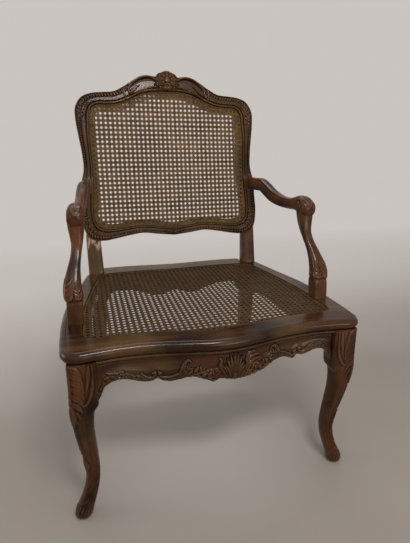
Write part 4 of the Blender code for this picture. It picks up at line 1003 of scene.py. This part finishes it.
def make_front_rail(chair):
    """The front rail, with a cartouche at its middle and leafy scrolls along its lower edge."""
    half = LEG_BLOCK_X - LEG_BLOCK_HALF - JOINT_GAP
    top = SEAT_HEIGHT - BOARD_THICKNESS - JOINT_GAP
    count, size = FRONT_RAIL_MESH
    stations = np.linspace(-half, half, count)
    low = smooth(FRONT_RAIL_EDGE, stations)[:, 0]
    shares = np.linspace(0, 1, size)
    face_top = top - RAIL_BEAD_HEIGHT
    z = low[:, None] + (face_top - low)[:, None] * shares[None]
    x = np.repeat(stations[:, None], len(shares), axis=1)
    across = x - FRONT_RAIL_CENTRE_X
    above = z - low[:, None]
    strokes = both_sides(strokes_of(APRON_CARVING) + leaves(APRON_LEAVES)) + strokes_of(APRON_RIGHT)
    carved = carve(np.stack([across, above], axis=-1), strokes)
    rim = FRONT_RIM_HEIGHT * np.sqrt(np.clip(1 - (above / FRONT_RIM_RADIUS - 1) ** 2, 0, 1))
    rim = rim * (np.abs(across) > FRONT_RIM_START)
    carved = np.maximum(np.maximum(carved, ribbon(across, above)), rim)
    flat = np.stack([across, z], axis=-1)
    swell = FRONT_SWELL * bump(across, 0, FRONT_SWELL_HALF_X) * bump(z, FRONT_SWELL_Z, FRONT_SWELL_HALF_Z)
    carved = np.maximum(carved, carve(flat, palmette())) + swell
    incised = FRONT_LINE_DEPTH * bump(z, face_top - FRONT_LINE_DROP, FRONT_LINE_WIDTH)
    incised = incised * (1 - bump(across, 0, FRONT_LINE_BREAK))
    rise = np.clip((shares - FRONT_HOLLOW_START) / (1 - FRONT_HOLLOW_START), 0, 1)
    hollow = FRONT_HOLLOW * np.sin(rise * math.pi) * (1 - bump(across, 0, FRONT_HOLLOW_BREAK))
    base = lip_front(stations) + RAIL_SETBACK
    y = (base + FRONT_FACE_DEPTH)[:, None] - carved + incised + hollow
    y = y + FRONT_FACE_DEPTH * (1 - np.clip(shares / FRONT_FOOT_SHARE, 0, 1))
    front = np.stack([x, y, z], axis=-1)

    def column(level_y, level_z):
        return np.stack([stations, level_y, np.broadcast_to(level_z, stations.shape)], axis=-1)[:, None]

    bead = [column(base + depth, face_top + rise) for depth, rise in FRONT_RAIL_BEAD]
    inner = np.full_like(stations, FRONT_RAIL_INNER_Y)
    back = [column(base + 0.0004, top), column(inner, top), column(inner, low)]
    rings = np.concatenate([front, *bead, *back], axis=1)
    relief = np.zeros(rings.shape[:2])
    relief[:, : len(shares)] = crevices(carved, 4)
    chair.loft("front_rail_carved", rings, "wood", "front_rail", relief, across=(0, 1, 0))


def plain_rail(chair, node, stations, place, edge, thickness):
    """A moulded rail. place gives its outer face's points and their outward direction."""
    top = SEAT_HEIGHT - BOARD_THICKNESS - JOINT_GAP
    bottom = smooth(mirrored(edge), stations)[:, 0]
    origin, outward = place(stations)
    rows = [(depth, bottom + rise) for depth, rise in RAIL_FOOT]
    rows += [(depth, np.full_like(bottom, top - drop)) for depth, drop in RAIL_HEAD]
    rows += [(thickness, np.full_like(bottom, top)), (thickness, bottom)]
    parts = [np.column_stack([origin - outward * depth, z])[:, None] for depth, z in rows]
    rings = np.concatenate(parts, axis=1)
    chair.loft(f"{node}_moulded", rings, "wood", node, across=(0, 0, 1))


def make_side_rail(chair, side, word):
    """A rail between a front leg and a rear leg."""
    front = LEG_BLOCK_Y + LEG_BLOCK_HALF + JOINT_GAP
    rear = POST_Y - POST_HALF_Y - JOINT_GAP
    middle, half = (front + rear) / 2, (rear - front) / 2
    stations = np.linspace(-half, half, RAIL_STATIONS)

    def place(t):
        y = middle + t
        return np.column_stack([side * (lip_side(y) - RAIL_SETBACK), y]), np.array([float(side), 0.0])

    plain_rail(chair, f"side_rail_{word}", stations, place, SIDE_RAIL_EDGE, SIDE_RAIL_THICKNESS)


def make_rear_rail(chair):
    """The rail between the rear legs."""
    half = POST_X - POST_HALF_X - JOINT_GAP
    stations = np.linspace(-half, half, RAIL_STATIONS)
    outer = POST_Y + POST_HALF_Y + REAR_RAIL_PROUD

    def place(t):
        return np.column_stack([t, np.full_like(t, outer)]), np.array([0.0, 1.0])

    plain_rail(chair, "rear_rail", stations, place, REAR_RAIL_EDGE, REAR_RAIL_THICKNESS)


# Seat boards


def finished(work, mesh):
    """Writes a closed bmesh to a mesh, with its faces outwards."""
    bmesh.ops.recalc_face_normals(work, faces=work.faces)
    work.to_mesh(mesh)
    work.free()
    return mesh


def filled_outline(name, loop, low, high, nose=0.0):
    """A plate with a closed outline, from a filled curve. nose rounds its outer edge."""
    curve = bpy.data.curves.new(name, "CURVE")
    curve.dimensions = "2D"
    curve.fill_mode = "BOTH"
    curve.extrude = (high - low) / 2 - nose
    curve.bevel_depth = nose
    curve.bevel_resolution = NOSING_STEPS
    spline = curve.splines.new("POLY")
    spline.points.add(len(loop) - 1)
    for point, (x, y) in zip(spline.points, loop):
        point.co = (x, y, 0, 1)
    spline.use_cyclic_u = True
    temporary = add_object(name, curve)
    bpy.context.view_layer.update()
    graph = bpy.context.evaluated_depsgraph_get()
    mesh = bpy.data.meshes.new_from_object(temporary.evaluated_get(graph))
    bpy.data.objects.remove(temporary)
    mesh.transform(Matrix.Translation((0, 0, (low + high) / 2)))
    work = bmesh.new()
    work.from_mesh(mesh)
    bmesh.ops.remove_doubles(work, verts=work.verts, dist=WELD_DISTANCE)
    bmesh.ops.dissolve_limit(work, angle_limit=FLAT_ANGLE, verts=work.verts, edges=work.edges)
    return finished(work, mesh)


def groove_mesh(loop, depth, width):
    """A closed ring with a wedge-shaped section, which cuts an incised line."""
    inner, outer = inset(loop, width / 2), inset(loop, -width / 2)
    top = SEAT_HEIGHT + GROOVE_RISE
    rows = ((outer, top), (loop, SEAT_HEIGHT - depth), (inner, top))
    count = len(loop)
    points = [(x, y, z) for row, z in rows for x, y in row]
    faces = []
    for band in range(3):
        for i in range(count):
            j = (i + 1) % count
            after = (band + 1) % 3
            faces.append((band * count + i, band * count + j, after * count + j, after * count + i))
    mesh = bpy.data.meshes.new("incised_line")
    mesh.from_pydata(points, [], faces)
    work = bmesh.new()
    work.from_mesh(mesh)
    return finished(work, mesh)


def block_mesh(low, high):
    """A box between two corners."""
    low, high = Vector(low), Vector(high)
    place = Matrix.Translation((low + high) / 2) @ Matrix.Diagonal((*(high - low), 1))
    work = bmesh.new()
    bmesh.ops.create_cube(work, size=1, matrix=place)
    return finished(work, bpy.data.meshes.new("region"))


def combined(mesh, steps):
    """A mesh after Boolean steps, each a mesh and an operation."""
    obj = add_object("combined", mesh)
    tools = []
    for tool_mesh, operation in steps:
        tool = add_object("tool", tool_mesh)
        tools.append(tool)
        modifier = obj.modifiers.new(operation.lower(), "BOOLEAN")
        modifier.operation = operation
        modifier.object = tool
    bpy.context.view_layer.update()
    graph = bpy.context.evaluated_depsgraph_get()
    result = bpy.data.meshes.new_from_object(obj.evaluated_get(graph))
    for used in [obj, *tools]:
        bpy.data.objects.remove(used)
    return result


def make_seat_boards(chair):
    """Four boards round the cane, with a rounded nose and an incised line along it."""
    lip = outline_loop(LIP_OUTLINE, OUTLINE_SPACING)
    pocket = outline_loop(POCKET_OUTLINE, OUTLINE_SPACING)
    bottom = SEAT_HEIGHT - BOARD_THICKNESS
    plate = filled_outline("seat", inset(lip, NOSING_RADIUS), bottom, SEAT_HEIGHT, NOSING_RADIUS)
    hole = inset(outline_loop(POCKET_OUTLINE, HOLE_SPACING), CANE_LEDGE)
    above = SEAT_HEIGHT + CUTTER_RISE
    opening = filled_outline("opening", hole, SEAT_HEIGHT - CUTTER_DEPTH, above)
    recess = filled_outline("recess", pocket, SEAT_HEIGHT - POCKET_DEPTH, above)
    incised = inset(outline_loop(LIP_OUTLINE, LINE_SPACING), INCISED_INSET)
    groove = groove_mesh(incised, INCISED_DEPTH, INCISED_WIDTH)
    post_inner = POST_X - POST_HALF_X
    side_rear = POST_Y - POST_HALF_Y - JOINT_GAP
    side_front = FRONT_BOARD_REAR_Y + JOINT_GAP
    rear_half = post_inner - JOINT_GAP
    far = REGION_HALF
    low, high = SEAT_HEIGHT - REGION_DEPTH, SEAT_HEIGHT + REGION_RISE
    regions = {
        "front": ((-far, -far, low), (far, FRONT_BOARD_REAR_Y, high), "board_x"),
        "rear": ((-rear_half, REAR_REGION_Y, low), (rear_half, far, high), "board_x"),
        "left": ((-far, side_front, low), (-post_inner, side_rear, high), "board_y"),
        "right": ((post_inner, side_front, low), (far, side_rear, high), "board_y"),
    }
    for word, (a, b, finish) in regions.items():
        steps = [(block_mesh(a, b), "INTERSECT")]
        steps += [(cutter, "DIFFERENCE") for cutter in (opening, recess, groove)]
        mesh = combined(plate, steps)
        mesh.name = f"seat_board_{word}_nosed"
        mesh.transform(Matrix.Translation(chair.shift))
        mesh.shade_smooth()
        mesh.set_sharp_from_angle(angle=math.radians(BOARD_SHARP))
        chair.dress(add_object(mesh.name, mesh), finish, f"seat_board_{word}")


# Cane


def spans(loop, direction, side, offset):
    """The pairs of distances along a straight line between which it is inside a closed outline."""
    level = loop @ side - offset
    ahead = np.roll(level, -1)
    crossing = np.flatnonzero((level > 0) != (ahead > 0))
    share = level[crossing] / (level[crossing] - ahead[crossing])
    points = loop[crossing] + (np.roll(loop, -1, axis=0)[crossing] - loop[crossing]) * share[:, None]
    along = np.sort(points @ direction)
    return [(along[i], along[i + 1]) for i in range(0, len(along) - 1, 2)]


def strand(points, side, width, thickness=STRAND_THICKNESS, section=STRAND_SECTION):
    """Rings of a strip of cane with a rounded upper face."""
    rings = [points + side * (width * a) + np.array([0, 0, thickness * b]) for a, b in section]
    return np.stack(rings, axis=1)


def stops_between(start, end, spacing):
    """Evenly spaced places along a line, with its two ends."""
    inner = np.arange(math.ceil(start / spacing + 0.2), math.floor(end / spacing - 0.2) + 1) * spacing
    return np.concatenate([[start], inner, [end]])


def straight_lines(reach):
    """The lines of the straight pairs: direction, side, offset to it, spacing of points, width, rise."""
    count = int(reach / CANE_PITCH) + 1
    across, upright = np.eye(2)
    for direction, side, sign in ((upright, across, 1), (across, upright, -1)):
        for k in range(-count, count + 1):
            rise = sign * WEAVE_RISE * (-1) ** k
            for half in (-1, 1):
                offset = (k + 0.5) * CANE_PITCH + half * PAIR_OFFSET
                yield direction, side, offset, CANE_PITCH / 2, STRAND_WIDTH, rise


def diagonal_lines(reach):
    """The lines of both diagonals, y = x and y = -x moved by (k + 1/2) pitches, in the same form."""
    count = int(reach * 1.5 / (CANE_PITCH * math.sqrt(0.5)))
    spacing = CANE_PITCH * math.sqrt(2) / 4
    for sign in (1, -1):
        direction = np.array([1.0, sign]) * math.sqrt(0.5)
        side = np.array([-direction[1], direction[0]])
        for k in range(-count, count + 1):
            offset = (k + 0.5) * CANE_PITCH * side[1]
            yield direction, side, offset, spacing, DIAGONAL_WIDTH, -sign * DIAGONAL_RISE


def weave(loop, diagonal):
    """Rings of the strands of six-way cane inside an outline: the straight pairs, or the two diagonals."""
    reach = np.abs(loop).max() * 1.6
    strands = []
    lines = diagonal_lines(reach) if diagonal else straight_lines(reach)
    for direction, side, offset, spacing, width, rise in lines:
        for start, end in spans(loop, direction, side, offset):
            if end - start < CANE_PITCH:
                continue
            t = stops_between(start, end, spacing)
            flat = side * offset + direction * t[:, None]
            if diagonal:
                wave = np.cos(2 * math.pi * flat[:, 0] / CANE_PITCH)
            else:
                wave = np.sin(math.pi * t / CANE_PITCH)
            points = np.column_stack([flat, rise * wave])
            strands.append(strand(points, np.array([*side, 0.0]), width))
    return strands


def cane_piece(chair, name, node, strands, place, seed, finish):
    """One mesh of many strands, each with its own shade. place takes points to the chair's space."""
    rng = np.random.default_rng(seed)
    points, faces, tones, grains = [], [], [], []
    first = 0
    for rings in strands:
        count, size = rings.shape[:2]
        faces.append(ring_quads(count, size)[:, [0, 3, 2, 1]] + first)
        length = np.cumsum(np.linalg.norm(np.diff(rings[:, 0], axis=0, prepend=rings[:1, 0]), axis=1))
        grain = np.zeros((count, size, 3))
        grain[..., 0] = np.linspace(0, 1, size)[None] * 0.004 + rng.random()
        grain[..., 2] = length[:, None]
        grains.append(grain.reshape(-1, 3))
        tones.append(np.full(count * size, rng.random()))
        points.append(rings.reshape(-1, 3))
        first += count * size
    faces = np.concatenate(faces).tolist()
    obj = chair.mesh_piece(name, place(np.concatenate(points)), faces, finish, node, "cane", CANE_SHARP)
    store(obj.data, "tone", np.concatenate(tones))
    store(obj.data, "grain", np.concatenate(grains))


def binder(loop):
    """A flat strip of cane laid round the border over the strands' ends, and the loops that hold it."""
    middle = inset(loop, BINDER_MARGIN)
    side = np.column_stack([inward(middle), np.zeros(len(middle))])
    points = np.column_stack([middle, np.full(len(middle), BINDER_LEVEL)])
    rings = strand(points, side, BINDER_WIDTH, BINDER_THICKNESS, BINDER_SECTION)
    strips = [np.concatenate([rings, rings[:1]])]
    length = np.concatenate([[0], np.cumsum(np.linalg.norm(np.diff(middle, axis=0), axis=1))])
    for stop in np.arange(0, length[-1], LOOP_SPACING):
        centre = np.array([np.interp(stop, length, points[:, i]) for i in range(3)])
        out = np.array([np.interp(stop, length, side[:, i]) for i in range(3)])
        ahead = np.array([out[1], -out[0], 0.0])
        reach = np.linspace(-1.0, 1.0, LOOP_POINTS)
        rise = LOOP_LEVEL + LOOP_RISE * np.sqrt(np.clip(1 - reach**2, 0, 1))
        path = centre + out * (reach * LOOP_REACH)[:, None] + rise[:, None] * (0, 0, 1)
        strips.append(strand(path, ahead, LOOP_WIDTH))
    return strips


def make_cane(chair, name, loop, place, level, seed, finish):
    """A caned panel: straight pairs, diagonals and the strip round its border."""
    inside = inset(loop, WEAVE_MARGIN)

    def lifted(points):
        return place(points + np.array([0, 0, level]))

    cane_piece(chair, f"{name}_pairs", name, weave(inside, False), lifted, seed, finish)
    cane_piece(chair, f"{name}_diagonals", name, weave(inside, True), lifted, seed + 1, finish)
    cane_piece(chair, f"{name}_binder", name, binder(loop), lifted, seed + 2, "cane_border")


def back_pocket():
    """The outline of the back's sunk panel in its own plane."""
    stations = even_stations(BACK_LOOP, 0, LOOP_END, OUTLINE_SPACING)
    inner = smooth(BACK_LOOP, stations)[:, 2:4]
    return np.vstack([inner, inner[-2:0:-1] * (-1, 1)])


def make_canes(chair):
    """The seat's cane and the back's cane."""
    seat_level = SEAT_HEIGHT - POCKET_DEPTH + CANE_LEVEL
    seat_pocket = outline_loop(POCKET_OUTLINE, OUTLINE_SPACING)
    make_cane(chair, "seat_cane", seat_pocket, lambda points: points, seat_level, SEAT_SEED, "cane_seat")

    def to_back(points):
        return raked(points[:, [0, 2, 1]] * (1, -1, 1))

    make_cane(chair, "back_cane", back_pocket(), to_back, CANE_LEVEL - LEDGE_DEPTH, BACK_SEED, "cane")


# Materials


class Nodes:
    """A small helper that adds and links shader nodes."""

    def __init__(self, name):
        self.material = bpy.data.materials.new(name)
        self.material.use_nodes = True
        self.tree = self.material.node_tree
        self.shader = self.tree.nodes["Principled BSDF"]

    def feed(self, node, inputs):
        """Links sockets to a node's inputs, or sets their values."""
        for key, value in inputs.items():
            if isinstance(value, bpy.types.NodeSocket):
                self.tree.links.new(value, node.inputs[key])
            else:
                node.inputs[key].default_value = value

    def add(self, kind, inputs, **fields):
        """Adds a node, and sets its fields and its inputs."""
        node = self.tree.nodes.new(kind)
        for key, value in fields.items():
            setattr(node, key, value)
        self.feed(node, inputs)
        return node

    def noise(self, vector, scale, detail=4.0, roughness=0.55):
        """A noise pattern's factor."""
        inputs = {"Vector": vector, "Scale": scale, "Detail": detail, "Roughness": roughness}
        return self.add("ShaderNodeTexNoise", inputs).outputs["Fac"]

    def span(self, value, low, high, to_low=0.0, to_high=1.0):
        """Maps a value from one range to another, held at its ends."""
        inputs = {"Value": value, "From Min": low, "From Max": high, "To Min": to_low, "To Max": to_high}
        return self.add("ShaderNodeMapRange", inputs).outputs["Result"]

    def mix(self, factor, a, b):
        """Mixes two colours, whose sockets are the mix node's 7th and 8th, and gives its third output."""
        return self.add("ShaderNodeMix", {"Factor": factor, 6: a, 7: b}, data_type="RGBA").outputs[2]

    def math(self, operation, a, b=0.0):
        """A sum, product or other arithmetic on one or two values."""
        return self.add("ShaderNodeMath", {0: a, 1: b}, operation=operation).outputs["Value"]

    def stretched(self, source, scale):
        """A vector scaled on each axis."""
        return self.add("ShaderNodeMapping", {"Vector": source, "Scale": scale}).outputs["Vector"]

    def split(self, vector):
        """A vector's X, Y and Z."""
        return self.add("ShaderNodeSeparateXYZ", {"Vector": vector}).outputs

    def place(self):
        """Each point's place in its object."""
        return self.add("ShaderNodeTexCoord", {}).outputs["Object"]

    def attribute(self, name, output):
        """An attribute of the mesh."""
        return self.add("ShaderNodeAttribute", {}, attribute_name=name).outputs[output]

    def bump(self, height, distance, strength):
        """A normal turned by a fine relief."""
        inputs = {"Height": height, "Distance": distance, "Strength": strength}
        return self.add("ShaderNodeBump", inputs).outputs["Normal"]


def wood(name, grain_axis=None, warmth=0.35, wear_and_highlight=0.25, gold=0.3, gloss=(0.20, 0.44), extra=None):
    """Old waxed walnut. Without an axis, its grain follows the mesh's own grain attribute."""
    n = Nodes(name)
    place = n.place()
    source = n.attribute("grain", "Vector") if grain_axis is None else place
    axis = 2 if grain_axis is None else grain_axis
    fine, broad = (tuple(v if i == axis else w for i in range(3)) for v, w in GRAIN_SCALES)
    streaks = n.noise(n.stretched(source, fine), 1.0, 3.0, 0.6)
    figure = n.noise(n.stretched(source, broad), 1.0, 4.0, 0.60)
    patches = n.noise(place, 11.0, 3.0, 0.6)
    olive = n.noise(place, 7.0, 2.0, 0.5)
    colour = n.mix(n.span(figure, 0.40, 0.64), WALNUT_DARK, WALNUT_MID)
    colour = n.mix(n.math("MULTIPLY", n.span(olive, 0.44, 0.62), gold), colour, WALNUT_GOLD)
    colour = n.mix(n.math("MULTIPLY", n.span(patches, 0.38, 0.66), warmth), colour, WALNUT_RED)
    colour = n.mix(n.span(streaks, 0.50, 0.72, 0.0, 0.55), colour, WALNUT_DARK)
    if grain_axis is None:
        relief = n.attribute("relief", "Fac")
        # Painted shade: the carving's hollows are darkened
        colour = n.mix(n.span(relief, -0.05, -0.7, 0.0, 0.92), colour, CREVICE_PAINTED_SHADE)
        # Raised carving is lightened: partly real wear, partly painted highlight
        raised = n.math("MULTIPLY", n.span(relief, 0.1, 0.9), wear_and_highlight)
        colour = n.mix(raised, colour, WALNUT_WORN_AND_HIGHLIGHT)
    if extra is not None:
        colour = extra(n, place, colour)
    n.feed(n.shader, {
        "Base Color": colour,
        "Roughness": n.span(n.noise(place, 38.0, 4.0, 0.6), 0.3, 0.7, *gloss),
        "Specular IOR Level": 0.14,
        "Coat Weight": 0.14,
        "Coat Roughness": 0.12,
        "Normal": n.bump(streaks, 0.00022, 0.5),
    })
    return n.material


def bare_patch(n, place, colour):
    """Adds the pale rubbed place at the top of the left rear post's front."""
    axes = n.split(place)
    share = n.span(n.noise(n.stretched(place, (90.0, 90.0, 18.0)), 1.0, 3.0, 0.6), 0.46, 0.56)
    for axis, centre, reach in BARE_PLACE:
        apart = n.math("ABSOLUTE", n.math("SUBTRACT", axes[axis], centre))
        share = n.math("MULTIPLY", share, n.span(apart, reach, reach * 0.4))
    return n.mix(n.math("MULTIPLY", share, 0.8), colour, BARE_WOOD)


def cane_finish(name, light, shade):
    """Aged cane: each strand has its own shade, with darker dirty stretches."""
    n = Nodes(name)
    place = n.place()
    tone = n.attribute("tone", "Fac")
    dirt = n.noise(place, 34.0, 4.0, 0.6)
    fibres = n.noise(n.stretched(n.attribute("grain", "Vector"), (2600.0, 1.0, 40.0)), 1.0, 2.0, 0.5)
    level = n.math("ADD", n.math("MULTIPLY", tone, 0.50), n.span(dirt, 0.3, 0.7, 0.0, 0.50))
    colour = n.mix(level, CANE_DARK, light)
    colour = n.mix(n.span(fibres, 0.55, 0.8, 0.0, 0.5), colour, CANE_DARK)
    colour = n.mix(n.span(n.noise(place, 9.0, 2.0, 0.5), 0.35, 0.65, 0.0, shade), colour, CANE_DARK)
    n.feed(n.shader, {
        "Base Color": colour,
        "Roughness": n.span(dirt, 0.3, 0.7, 0.42, 0.62),
        "Specular IOR Level": 0.08,
        "Normal": n.bump(fibres, 0.0001, 0.4),
    })
    return n.material


def paper():
    """A pale paper sweep: its floor is darker toward the front as painted shade, a painted pool of light
    under the chair lightens its shadow, and the far paper glows.
    """
    n = Nodes("pale_floor")
    place = n.place()
    away = n.split(place)["Y"]
    cloud = n.span(n.noise(place, 1.5, 2.0, 0.5), 0.3, 0.7, -0.06, 0.06)
    # Painted shade: the floor darkens from the back toward the front
    colour = n.mix(n.math("ADD", n.span(away, 0.1, 1.2), cloud), FLOOR_NEAR_PAINTED_SHADE, FLOOR_FAR)
    # Painted light: a paler pool round the chair's middle lightens its shadow on the floor
    under = {"Vector": n.stretched(place, (2.3, 2.3, 0.0))}
    painted_light_patch = n.add("ShaderNodeTexGradient", under, gradient_type="SPHERICAL").outputs["Fac"]
    colour = n.mix(n.span(painted_light_patch, 0.0, 0.7), colour, FLOOR_PAINTED_LIGHT)
    n.feed(n.shader, {"Base Color": colour, "Roughness": 0.9, "Specular IOR Level": 0.2})
    # Painted light: away from the chair the paper glows with its own colour for camera, glossy and
    # transmission rays
    rays = n.add("ShaderNodeLightPath", {}).outputs
    seen = n.math("ADD", rays["Is Camera Ray"], rays["Is Glossy Ray"])
    seen = n.math("ADD", seen, rays["Is Transmission Ray"])
    wall_glow = n.add("ShaderNodeEmission", {"Color": n.mix(cloud, WALL_GLOW, WALL_GLOW_DIM)}).outputs["Emission"]
    share = n.math("MULTIPLY", seen, n.span(away, 0.5, 2.2))
    surface = n.add("ShaderNodeMixShader", {"Fac": share, 1: n.shader.outputs["BSDF"], 2: wall_glow})
    n.feed(n.tree.nodes["Material Output"], {"Surface": surface.outputs["Shader"]})
    return n.material


# Studio


def make_floor():
    """A pale sweep: a floor that curves up behind the chair."""
    start = SWEEP_BACK_Y - SWEEP_RADIUS
    profile = [(SWEEP_FRONT_Y, 0.0), (start, 0.0)]
    for i in range(1, SWEEP_STEPS + 1):
        angle = i / SWEEP_STEPS * math.pi / 2
        profile.append((start + SWEEP_RADIUS * math.sin(angle), SWEEP_RADIUS * (1 - math.cos(angle))))
    profile.append((SWEEP_BACK_Y, SWEEP_HEIGHT))
    points = [(x, y, z) for y, z in profile for x in (-SWEEP_HALF_WIDTH, SWEEP_HALF_WIDTH)]
    faces = [(2 * i, 2 * i + 1, 2 * i + 3, 2 * i + 2) for i in range(len(profile) - 1)]
    mesh = bpy.data.meshes.new("floor")
    mesh.from_pydata(points, [], faces)
    mesh.shade_smooth()
    mesh.materials.append(paper())
    floor = add_object("floor", mesh)
    floor.location.z = -FLOOR_DROP


def add_light(name, place, size, power, colour):
    """A soft square lamp that faces the chair."""
    lamp = bpy.data.lights.new(name, "AREA")
    lamp.shape = "RECTANGLE"
    lamp.size, lamp.size_y = size
    lamp.energy = power
    lamp.color = colour
    obj = add_object(name, lamp)
    obj.location = place
    obj.rotation_euler = (Vector(LAMP_TARGET) - Vector(place)).to_track_quat("-Z", "Y").to_euler()


def make_studio():
    """The world's light and the lamps: a broad window above and behind, and soft light from the front."""
    world = bpy.data.worlds.new("studio")
    bpy.context.scene.world = world
    world.use_nodes = True
    background = world.node_tree.nodes["Background"]
    background.inputs["Color"].default_value = WORLD_COLOUR
    background.inputs["Strength"].default_value = WORLD_STRENGTH
    for lamp in LAMPS:
        add_light(*lamp)


def make_camera(shift):
    """The camera at the photograph's place."""
    yaw, pitch, roll = CAMERA_YAW, CAMERA_PITCH, CAMERA_ROLL
    forward = Vector((math.sin(yaw) * math.cos(pitch), math.cos(yaw) * math.cos(pitch), -math.sin(pitch)))
    right = Vector((math.cos(yaw), -math.sin(yaw), 0))
    up = right.cross(forward)
    turned_right = right * math.cos(roll) + up * math.sin(roll)
    turned_up = up * math.cos(roll) - right * math.sin(roll)
    data = bpy.data.cameras.new("camera")
    data.sensor_fit = "VERTICAL"
    data.sensor_height = SENSOR
    data.lens = CAMERA_LENS
    camera = add_object("camera", data)
    axes = Matrix((turned_right, turned_up, -forward)).transposed().to_4x4()
    camera.matrix_world = Matrix.Translation(Vector(CAMERA_PLACE) + shift) @ axes
    bpy.context.scene.camera = camera


def dress_pegs(chair, nodes):
    """The pegs keep their CAD shape, and get the wood's finish."""
    for name, obj in nodes.items():
        if name.startswith("peg_"):
            for slot in obj.material_slots:
                slot.material = chair.finishes["peg"]


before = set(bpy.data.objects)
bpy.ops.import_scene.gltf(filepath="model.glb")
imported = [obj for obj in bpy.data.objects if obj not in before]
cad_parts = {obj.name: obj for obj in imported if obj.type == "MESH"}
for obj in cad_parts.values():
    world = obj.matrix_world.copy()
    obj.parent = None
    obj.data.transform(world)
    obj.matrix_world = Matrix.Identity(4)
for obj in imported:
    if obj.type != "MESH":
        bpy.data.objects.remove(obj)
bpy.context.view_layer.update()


def main():
    """Builds the whole scene."""
    shift_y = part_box("seat_board_front")[0][1] - FRONT_LIP_Y
    chair = Chair(shift_y)
    chair.finishes = {
        "wood": wood("carved_walnut", warmth=0.40, wear_and_highlight=0.25, gold=0.4),
        "wood_leg": wood("leg_walnut", warmth=0.50, wear_and_highlight=0.22, gold=0.2),
        "wood_post": wood("post_walnut", warmth=0.9, gold=0.7, extra=bare_patch),
        "wood_arm": wood("rubbed_walnut", warmth=0.8, wear_and_highlight=0.4),
        "board_x": wood("front_board_walnut", grain_axis=0, gold=0.6, warmth=0.25, gloss=(0.14, 0.34)),
        "board_y": wood("side_board_walnut", grain_axis=1, gold=0.4, warmth=0.25, gloss=(0.14, 0.34)),
        "peg": wood("peg_walnut", grain_axis=1),
        "cane": cane_finish("aged_cane", CANE_LIGHT, 0.35),
        # Partly painted shade: the seat's cane is darker than the back's
        "cane_seat": cane_finish("darkened_cane", CANE_SEAT, 0.5),
        "cane_border": cane_finish("olive_cane", CANE_OLIVE, 0.2),
    }
    make_back(chair)
    make_front_rail(chair)
    make_rear_rail(chair)
    for side, word in ((-1, "left"), (1, "right")):
        make_rear_post(chair, side, word)
        make_front_leg(chair, side, word)
        make_side_rail(chair, side, word)
        make_arm(chair, side, word)
        make_arm_support(chair, side, word)
    make_seat_boards(chair)
    make_canes(chair)
    dress_pegs(chair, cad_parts)
    make_floor()
    make_studio()
    make_camera(chair.shift)
    bpy.context.scene.view_settings.view_transform = "Standard"


main()
